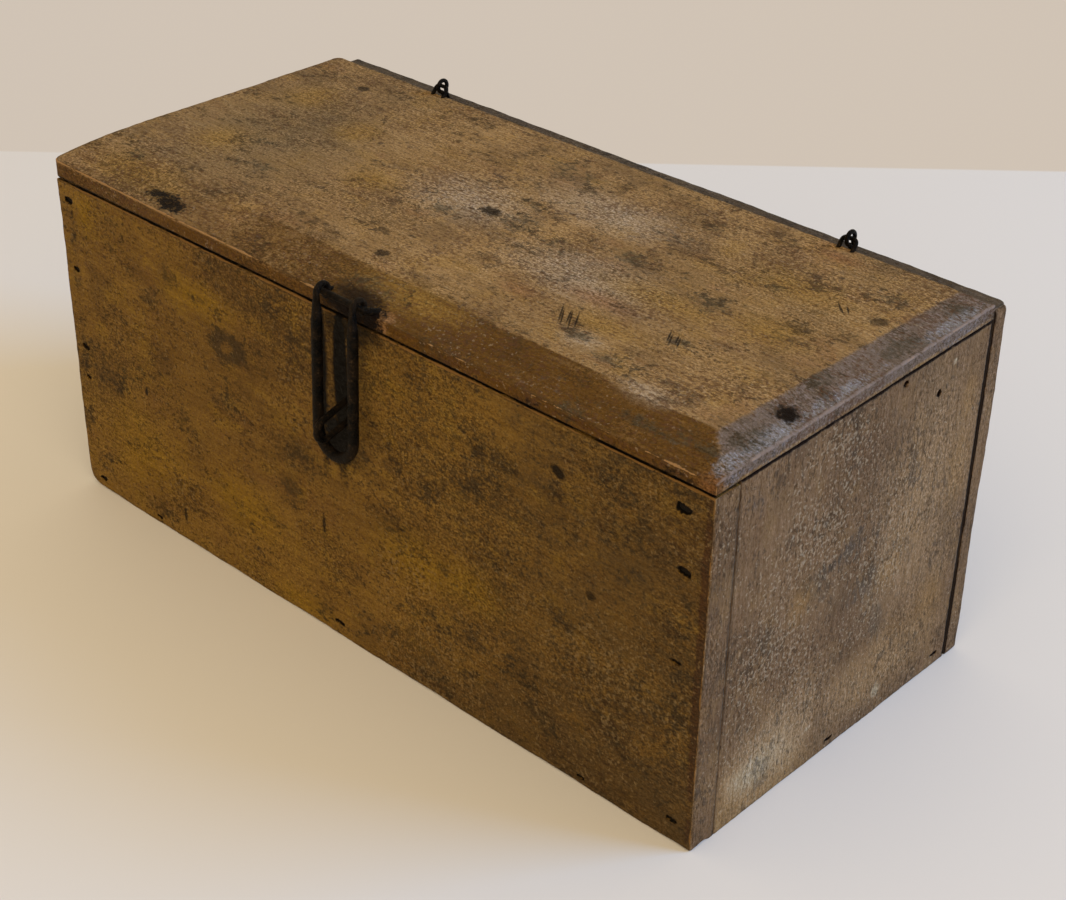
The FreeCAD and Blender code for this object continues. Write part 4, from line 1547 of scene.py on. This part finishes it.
@dataclass
class EndBoard(WornBoard):
    """An end board, whose rim rises towards the back."""

    def tight(self, points: np.ndarray) -> np.ndarray:
        """The front arrises, which the front board meets."""
        return smooth(self.inset(points, Side.FRONT), 4, 2)

    def tints(self, points: np.ndarray) -> dict[str, np.ndarray]:
        """Bare and mustard low at the front, black along the joints and the outer edge of the rim as painted
        shade in the seams.

        Args:
            points: The board's points.

        Returns:
            The levels that differ over it.
        """
        front, rear, top, outside = (self.inset(points, side)
                                     for side in (Side.FRONT, Side.REAR, Side.TOP, self.side))
        low_front = smooth(points[:, 2] / MM, 45, 5) * smooth(points[:, 1] / MM, 30, -60)
        rim = 0.8 * smooth(top, 1.5, 0.5) * smooth(outside, 3.0, 1.0)
        joints = np.maximum(smooth(rear, 2.0, 0.7), 0.55 * smooth(front, 1.0, 0.4))
        return {"smoked": 0.75 * low_front, "iron": np.maximum(joints, rim)}

    def rim_heights(self) -> tuple[float, float]:
        """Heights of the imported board's top edge at its front and at its back."""
        packed = [vertex.co for vertex in frame["nodes"][self.node].data.vertices]
        return tuple(max(point.z for point in packed if abs(point.y - place) < 1e-5)
                     for place in (self.low.y, self.high.y))

    def shape(self, points: np.ndarray) -> np.ndarray:
        """Bring the level rim down to the slope.

        Args:
            points: The lattice's points.

        Returns:
            The moved points.
        """
        front, back = self.rim_heights()
        share = (points[:, 1] - self.low.y) / (self.high.y - self.low.y)
        moved = points.copy()
        moved[:, 2] = points[:, 2] * (front + (back - front) * share) / self.high.z
        return moved


@dataclass
class BoxShell:
    """The nailed box: front, back, two ends and the bottom, with its nails."""

    left_nails: tuple[tuple[float, float], ...] = (
        (0.8, 0.9), (0.7, 0.9), (0.75, 0.8), (0.5, 0.7), (0.8, 0.8))
    right_nails: tuple[tuple[float, float], ...] = ((1.1, 1.2), (1.0, 1.15), (0.9, 0.5), (0.9, 0.6))
    end_holes: tuple[tuple[float, float], ...] = ((23.6 * MM, 171.6 * MM), (50.9 * MM, 156.5 * MM))
    hole_half: tuple[float, float] = (1.3 * MM, 1.4 * MM)
    hole_depth: float = 2.2 * MM

    def build(self, shop: Workshop) -> None:
        """Make the boards and the nails.

        Args:
            shop: The shared trees and finishes.
        """
        front = [NailFace("nails_front_left", Side.FRONT, self.left_nails),
                 NailFace("nails_front_right", Side.FRONT, self.right_nails),
                 NailFace("nails_front_bottom", Side.FRONT)]
        back = [NailFace(f"nails_back_{place}", Side.REAR) for place in ("left", "right", "bottom")]
        ends = [NailFace(f"nails_{side.name.lower()}_end_bottom", side) for side in (Side.LEFT, Side.RIGHT)]
        lapped = dict.fromkeys((Side.LEFT, Side.RIGHT), END_PAINT)
        FrontBoard("front_board", Side.FRONT, seed=11, step=2.7 * MM, fine=0.52 * MM,
                   recesses=self._sunk(front),
                   painted=lapped | dict.fromkeys((Side.FRONT, Side.UNDER, Side.TOP), WALL_PAINT)).build(shop)
        BackBoard("back_board", Side.REAR, seed=23, step=3.2 * MM, recesses=self._sunk(back),
                  painted=lapped | dict.fromkeys((Side.REAR, Side.UNDER), WALL_PAINT)
                  | {Side.TOP: EDGE_PAINT}).build(shop)
        for nails in ends:
            side = nails.side
            EndBoard(f"{side.name.lower()}_end", side, seed=31 + side.sign, arris=0.7 * MM,
                     slot="worn_paint_ends", bare=BareWoodFinish(Axis.Z),
                     recesses=self._holes(side) + self._sunk([nails]),
                     painted=dict.fromkeys((side, Side.REAR, Side.UNDER, Side.TOP), END_PAINT)).build(shop)
        WornBoard("bottom_board", Side.UNDER, seed=41, arris=0.5 * MM, step=5 * MM,
                  slot="bare_wood").build(shop)
        for seed, nails in enumerate((*front, *back, *ends), start=3):
            nails.build(shop, seed)

    def _sunk(self, rows: Sequence[NailFace]) -> list[Recess]:
        """The hollows of several rows of nails."""
        return [hollow for row in rows for hollow in row.recesses()]

    def _holes(self, side: Side) -> list[Recess]:
        """The empty nail holes near the top of the right end."""
        return [Recess(Vector((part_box("right_end")[1].x, *hole)), self.hole_half, self.hole_depth)
                for hole in self.end_holes if side is Side.RIGHT]


# ---------------------------------------------------------------- the lid and the ironwork


@dataclass
class LidBoard(WornBoard):
    """The lid board, with its hand-planed bevels."""

    bevel_run: tuple[float, float] = (30 * MM, 20.5 * MM)
    bevel_drop: tuple[float, float] = (3.4 * MM, 7.2 * MM)
    side_run: float = 17.5 * MM
    side_drop: tuple[float, float] = (5.8 * MM, 0.8 * MM)
    corner: float = 5 * MM
    rear_corner: float = 4 * MM

    def underside(self, depth: float) -> float:
        """Height of the lid's underside at a place across the box."""
        packed = [vertex.co for vertex in frame["nodes"][self.node].data.vertices]
        back = min(point.z for point in packed if abs(point.y - self.high.y) < 1e-5)
        return self.low.z + (back - self.low.z) * (depth - self.low.y) / (self.high.y - self.low.y)

    def _bevels(self, points: np.ndarray) -> tuple[np.ndarray, ...]:
        """Where each point is against the bevels, negative beyond a bevel's upper edge.

        Args:
            points: The board's points.

        Returns:
            How far in from the upper edge of the front and of the right bevel, how deep the plane of
            each lies there, and each point's share of the lid's length.
        """
        along, back = (np.clip((points[:, axis] - self.low[axis]) / (self.high[axis] - self.low[axis]), 0, 1)
                       for axis in (0, 1))
        run, drop = (first + (last - first) * along for first, last in (self.bevel_run, self.bevel_drop))
        front = run - (points[:, 1] - self.low.y)
        side = self.side_drop[0] + (self.side_drop[1] - self.side_drop[0]) * back
        right = self.side_run - (self.high.x - points[:, 0])
        return front, right, drop * front / run, side * right / self.side_run, along

    def tints(self, points: np.ndarray) -> dict[str, np.ndarray]:
        """Darker and browner on the front bevel as painted shade, greyer on the right bevel as a painted cool
        sheen with a painted highlight along its lower arris, and black along the joint with the box as
        painted shade in the seam.

        Args:
            points: The board's points.

        Returns:
            The levels that differ over it.
        """
        *measures, along = self._bevels(points)
        front, right, front_deep, right_deep = (values / MM for values in measures)
        _, edge, face, _, up, down = (self.inset(points, side) for side in Side)
        is_front = smooth(front_deep - right_deep, -0.3, 0.3)
        front_face, right_face = smooth(face, 1.6, 0.5), smooth(edge, 1.6, 0.5)
        # Painted shade on the front bevel, which faces away from the window, with a darker line along its
        # upper edge; the front face darker below its upper arris, partly dirt and partly painted shade.
        smoked = smooth(front, -1.5, 2) * is_front * (0.30 + 0.62 * smooth(along, 0.1, 0.6))
        smoked = np.maximum(smoked, 1.1 * smooth(np.abs(front), 1.3, 0.2) * smooth(along, 0.3, 0.8))
        smoked = np.maximum(smoked, 1.2 * front_face * smooth(down, 0.6, 2.5))
        # Painted cool sheen: the right bevel greyer where the cool window light glances off it.
        greyed = smooth(right, -0.8, 1.5) * (1 - is_front) * (1 - 0.55 * right_face * smooth(down, 7, 9))
        # The pale line along the lower arris of the front bevel is partly wear and partly a painted
        # highlight.
        rubbed = smooth(np.hypot(face, down), 1.5, 0.5) * (1.3 - 0.6 * along)
        # Painted highlight along the lower arris of the right bevel.
        gleam = smooth(np.hypot(edge, down), 2.4, 0.4) * smooth(edge, 9, 5)
        # Painted shade in the seam between the lid and the box.
        joint = np.maximum(front_face, right_face) * smooth(up, 1.6, 0.3)
        # Darker low on the front face towards the right, partly dirt and partly painted shade.
        dirt_and_shade = 0.42 * front_face * smooth(down, 1.5, 4) * smooth(along, 0.5, 0.8)
        return {"smoked": smoked, "greyed": greyed, "arris": rubbed, "gleam": gleam,
                "iron": np.maximum(joint, dirt_and_shade)}

    def shape(self, points: np.ndarray) -> np.ndarray:
        """Fit the level lattice between the sloping underside and the bevelled top.

        Args:
            points: The lattice's points.

        Returns:
            The moved points.
        """
        low, high = self.low, self.high
        under_front, under_back = self.underside(low.y), self.underside(high.y)
        under = under_front + (under_back - under_front) * (points[:, 1] - low.y) / (high.y - low.y)
        _, _, front, right, along = self._bevels(points)
        soft = (0.9 - 0.65 * along) * MM
        drop = soft * np.log(1 + np.exp(front / soft) + np.exp(right / soft))
        moved = points.copy()
        moved[:, 2] = under + (points[:, 2] - low.z) / (high.z - low.z) * (high.z - drop - under)
        moved = turn_corner(moved, (0, 1), (low.x, low.y), (1, 1), self.corner)
        return turn_corner(moved, (0, 1), (low.x, high.y), (1, -1), self.rear_corner)


@dataclass
class LidStaple:
    """A staple through the lid, its ends clinched underneath."""

    wire: float
    width: float
    corner: float
    slope: float
    way: int

    def line(self, board: LidBoard, crown: Vector) -> list[Vector]:
        """The staple's line.

        Args:
            board: The lid board.
            crown: Middle of its crown.

        Returns:
            The points of the line.
        """
        low, high = board.low.y, board.high.y
        tilt = (board.underside(high) - board.underside(low)) / (high - low)
        lean = math.radians(self.slope)
        leg = Vector((0, self.way * math.cos(lean), -math.sin(lean)))
        level = board.underside(crown.y) - self.wire / 2 + CLINCH.bite
        leave = crown + leg * ((level - crown.z) / (leg.z - tilt * leg.y))
        end = leave + Vector((0, 1, tilt)).normalized() * self.way * CLINCH.length
        half = Vector((self.width / 2, 0, 0))
        corners = [end - half, leave - half, crown - half, crown + half, leave + half, end + half]
        return bent_line(corners, [CLINCH.bend, self.corner, self.corner, CLINCH.bend])

    def build(self, shop: Workshop, board: LidBoard, node: str, crown: Vector) -> None:
        """Forge the staple and put it on the lid.

        Args:
            shop: The shared trees and finishes.
            board: The lid board.
            node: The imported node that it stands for.
            crown: Middle of its crown.
        """
        points = self.line(board, crown)
        shop.wire(node, Body.LID, points, pointed(points, 6 * MM), Thickness=self.wire,
                  Hammering=0.10 * self.wire, Pitting=0.05 * self.wire)


@dataclass
class Lid:
    """The lid board, the hasp's staple and the lid's halves of the hinges."""

    hasp_staple: LidStaple = field(default_factory=lambda: LidStaple(3.0 * MM, 29 * MM, 2.6 * MM, 23.0, 1))
    eye: LidStaple = field(default_factory=lambda: LidStaple(2.1 * MM, 7.4 * MM, 2.2 * MM, 52.0, -1))

    def build(self, shop: Workshop) -> None:
        """Make the board, the hasp's staple and the lid's eyes.

        Args:
            shop: The shared trees and finishes.
        """
        painted = dict.fromkeys((Side.LEFT, Side.RIGHT, Side.FRONT, Side.REAR, Side.TOP), LID_PAINT)
        board = LidBoard("lid_board", Side.TOP, painted, body=Body.LID, slot="worn_paint_lid", seed=53,
                         arris=0.9 * MM, step=1.9 * MM)
        board.build(shop)
        self.hasp_staple.build(shop, board, "hasp_staple", joint_place("hasp_swing"))
        axis = joint_place("lid_hinge")
        for word in ("left", "right"):
            node = f"hinge_{word}_lid_eye"
            self.eye.build(shop, board, node, Vector((middle_of(node), axis.y, axis.z)))


@dataclass
class BackEyes:
    """The box's halves of the snipe hinges: rings with two legs driven into the back board."""

    wire: float = 2.1 * MM
    ring: float = 3.0 * MM
    neck: float = 1.5 * MM
    leg_split: float = 0.3 * MM
    slope: float = 69.5
    bite: float = 10 * MM
    point: float = 5 * MM
    hammering: float = 0.12 * MM
    pitting: float = 0.08 * MM

    def line(self, crown: Vector) -> list[Vector]:
        """The line of one eye.

        Args:
            crown: Middle of the ring.

        Returns:
            The points of the line.
        """
        lean = math.radians(self.slope)
        down = Vector((0, math.cos(lean), -math.sin(lean)))
        across = Vector((0, math.sin(lean), math.cos(lean)))
        leg = (self.wire + self.leg_split) / 2
        fall = math.sqrt((self.ring + self.neck) ** 2 - (leg + self.neck) ** 2)
        turn = math.atan2(fall, leg + self.neck)
        tip = (crown.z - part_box("back_board")[1].z) / math.sin(lean) + self.bite
        centre = across * (leg + self.neck) + down * fall
        touch = centre * (self.ring / (self.ring + self.neck))
        along = across * (self.ring * math.sin(turn)) - down * (self.ring * math.cos(turn))
        half = [across * leg + down * tip]
        half += arc_points(centre, across * -self.neck, down * -self.neck, turn)
        half += arc_points(Vector(), touch, along, turn + math.pi / 2)[1:]
        mirrored = [point - across * (2 * point.dot(across)) for point in reversed(half[:-1])]
        return [crown + point for point in half + mirrored]

    def build(self, shop: Workshop) -> None:
        """Make both eyes.

        Args:
            shop: The shared trees and finishes.
        """
        axis = joint_place("lid_hinge")
        for word in ("left", "right"):
            node = f"hinge_{word}_box_eye"
            points = self.line(Vector((middle_of(node), axis.y, axis.z)))
            shop.wire(node, Body.BOX, points, pointed(points, self.point), Thickness=self.wire,
                      Hammering=self.hammering, Pitting=self.pitting)


@dataclass
class LockStaple:
    """The drooping eye in the front that the hasp drops over, its legs clinched inside."""

    wire: float = 3.0 * MM
    width: float = 10 * MM
    reach: float = 22 * MM
    below_rim: float = 42.7 * MM
    droop: float = 17.6
    point: float = 6 * MM
    hammering: float = 0.30 * MM
    pitting: float = 0.16 * MM

    def build(self, shop: Workshop) -> None:
        """Make the eye.

        Args:
            shop: The shared trees and finishes.
        """
        low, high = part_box("front_board")
        face = Vector((middle_of("lock_staple"), low.y, high.z - self.below_rim))
        lean = math.radians(self.droop)
        inward = Vector((0, math.cos(lean), math.sin(lean)))
        across = Vector((0, -math.sin(lean), math.cos(lean))) * (self.width / 2)
        tip = inward * -(self.reach - self.wire / 2)
        grip = high.y - low.y + self.wire / 2 - CLINCH.bite
        above, below = (across * side + inward * ((grip - across.y * side) / inward.y) for side in (1, -1))
        end = Vector((0, 0, CLINCH.length))
        corners = [above + end, above, tip + across, tip - across, below, below - end]
        bends = [CLINCH.bend, self.width / 2, self.width / 2, CLINCH.bend]
        line = [face + point for point in bent_line(corners, bends)]
        shop.wire("lock_staple", Body.BOX, line, pointed(line, self.point), Thickness=self.wire,
                  Hammering=self.hammering, Pitting=self.pitting, Seed=(3.0, 1.0, 2.0))


@dataclass
class Hasp:
    """The long wire loop that hangs from its staple and drops over the lock staple."""

    wire: float = 4.9 * MM
    curl_wire: float = 2.8 * MM
    staple_wire: float = 3.0 * MM
    gap: float = 0.35 * MM
    width: float = 22.5 * MM
    reach: float = 74.3 * MM
    taper: float = 12 * MM
    curl_turn: float = 250.0
    curl_run: float = 0.6 * MM
    lean: float = 1.9
    sides: int = 24
    hammering: float = 0.42 * MM
    pitting: float = 0.20 * MM

    def build(self, shop: Workshop) -> None:
        """Make the loop.

        Args:
            shop: The shared trees and finishes.
        """
        curl = (self.staple_wire + self.curl_wire) / 2 + self.gap
        half = self.width / 2
        mirror = Matrix.Diagonal((-1, 1, 1))
        curled = arc_points(Vector((half, 0, 0)), Vector((0, -curl, 0)), Vector((0, 0, curl)),
                            math.radians(self.curl_turn))
        neck, shoulder, bend = (Vector((half, -curl, -drop))
                                for drop in (self.curl_run, self.taper, self.reach))
        loop = bent_line([mirror @ shoulder, mirror @ bend, bend, shoulder], [half, half])
        ending = [neck] + curled
        thin = [self.curl_wire / self.wire] * len(ending)
        axis = joint_place("hasp_swing")
        tilt = Matrix.Rotation(-math.radians(self.lean), 3, "X")
        line = [axis + tilt @ point for point in [mirror @ end for end in reversed(ending)] + loop + ending]
        shop.wire("hasp", Body.HASP, line, thin + [1.0] * len(loop) + thin, Thickness=self.wire,
                  Hammering=self.hammering, Pitting=self.pitting, Sides=self.sides, Seed=(1.0, 4.0, 2.0))


# ---------------------------------------------------------------- stage


@dataclass(frozen=True)
class Lamp:
    """A square light that looks at the chest."""

    name: str
    place: tuple[float, float, float]
    size: float
    power: float
    colour: Colour
    target: tuple[float, float, float] = (0.0, 0.0, 0.08)

    def hang(self) -> None:
        """Put the light into the scene."""
        data = bpy.data.lights.new(self.name, "AREA")
        data.shape = "RECTANGLE"
        data.size = data.size_y = self.size
        data.energy = self.power
        data.color = self.colour
        lamp = placed(self.name, data)
        lamp.location = self.place
        lamp.rotation_euler = (Vector(self.target) - lamp.location).to_track_quat("-Z", "Y").to_euler()


@dataclass
class Stage:
    """The table, with a plain backdrop beyond its far edge, the lights and the camera."""

    eye: tuple[float, float, float] = (0.56983, -0.59281, 0.56398)
    ahead: tuple[float, float, float] = (-0.57980927, 0.62705791, -0.5202111)
    roll: float = 1.03876
    focal: float = 2005.17
    image_width: float = 1066.0
    sensor: float = 36.0
    table_colour: Colour = (0.71, 0.69, 0.69)
    far_colour: Colour = (0.634, 0.548, 0.462)
    table_edge: tuple[float, float, float] = (-0.677, 0.736, 0.4965)
    edge_blur: float = 2 * MM
    floor_half: float = 8.0
    sky_colour: Colour = (1.0, 0.82, 0.555)
    sky_strength: float = 0.73
    window: Lamp = Lamp("window", (2.8, 2.24, 2.35), 1.95, 137.0, (0.14, 0.47, 0.98))
    fill: Lamp = Lamp("fill", (1.3, -1.7, 2.0), 2.8, 40.0, (1.0, 0.80, 0.50))

    def build(self) -> None:
        """Make the stage."""
        self._camera()
        self._backdrop()
        world = bpy.data.worlds.new("room")
        bpy.context.scene.world = world
        world.use_nodes = True
        sky = world.node_tree.nodes["Background"]
        sky.inputs["Color"].default_value = (*self.sky_colour, 1.0)
        sky.inputs["Strength"].default_value = self.sky_strength
        self.window.hang()
        self.fill.hang()

    def _camera(self) -> None:
        """Stand the camera where the chest was seen from."""
        data = bpy.data.cameras.new("camera")
        data.sensor_width = self.sensor
        data.lens = self.focal * self.sensor / self.image_width
        ahead = Vector(self.ahead).normalized()
        right = ahead.cross(Vector((0, 0, 1))).normalized()
        above = right.cross(ahead)
        turn = math.radians(self.roll)
        across = right * math.cos(turn) + above * math.sin(turn)
        upward = above * math.cos(turn) - right * math.sin(turn)
        rows = Matrix((across, upward, -ahead)).transposed()
        camera = placed("camera", data)
        camera.matrix_world = Matrix.Translation(self.eye) @ rows.to_4x4()
        bpy.context.scene.camera = camera

    def _backdrop(self) -> None:
        """Lay the pale table, with a plain beige backdrop beyond its far edge."""
        half = self.floor_half
        mesh = bpy.data.meshes.new("table")
        mesh.from_pydata([(-half, -half, 0), (half, -half, 0), (half, half, 0), (-half, half, 0)], [],
                         [(0, 1, 2, 3)])
        floor = placed("table", mesh)
        bench = ShaderBench("table_plain")
        bench.dress(Base_Color=(*self.table_colour, 1.0), Roughness=0.6, Specular_IOR_Level=0.2)
        reach = bench.add("ShaderNodeVectorMath", {"operation": "DOT_PRODUCT"})
        *way, edge = self.table_edge
        for socket, value in zip(reach.inputs, (bench.place, (*way, 0.0))):
            bench.feed(socket, value)
        beyond = bench.span(reach.outputs["Value"], edge - self.edge_blur, edge + self.edge_blur)
        rays = bench.add("ShaderNodeLightPath").outputs
        seen = bench.math("MAXIMUM", rays["Is Camera Ray"], rays["Is Glossy Ray"])
        seen = bench.math("MAXIMUM", seen, rays["Is Transmission Ray"])
        glow = bench.add("ShaderNodeEmission", Color=(*self.far_colour, 1.0)).outputs[0]
        mix = bench.add("ShaderNodeMixShader")
        share = bench.math("MULTIPLY", seen, beyond)
        for socket, value in zip(mix.inputs, (share, bench.surface.outputs[0], glow)):
            bench.feed(socket, value)
        bench.feed(bench.tree.nodes["Material Output"].inputs["Surface"], mix.outputs[0])
        mesh.materials.append(bench.material)


def main() -> None:
    """Build the chest and its stage."""
    logging.basicConfig(level=logging.INFO, format="%(name)s %(message)s")
    shop = Workshop()
    for assembly in (BoxShell(), Lid(), BackEyes(), LockStaple(), Hasp()):
        assembly.build(shop)
    Stage().build()
    bpy.context.scene.view_settings.view_transform = "Standard"


if __name__ == "__main__":
    main()
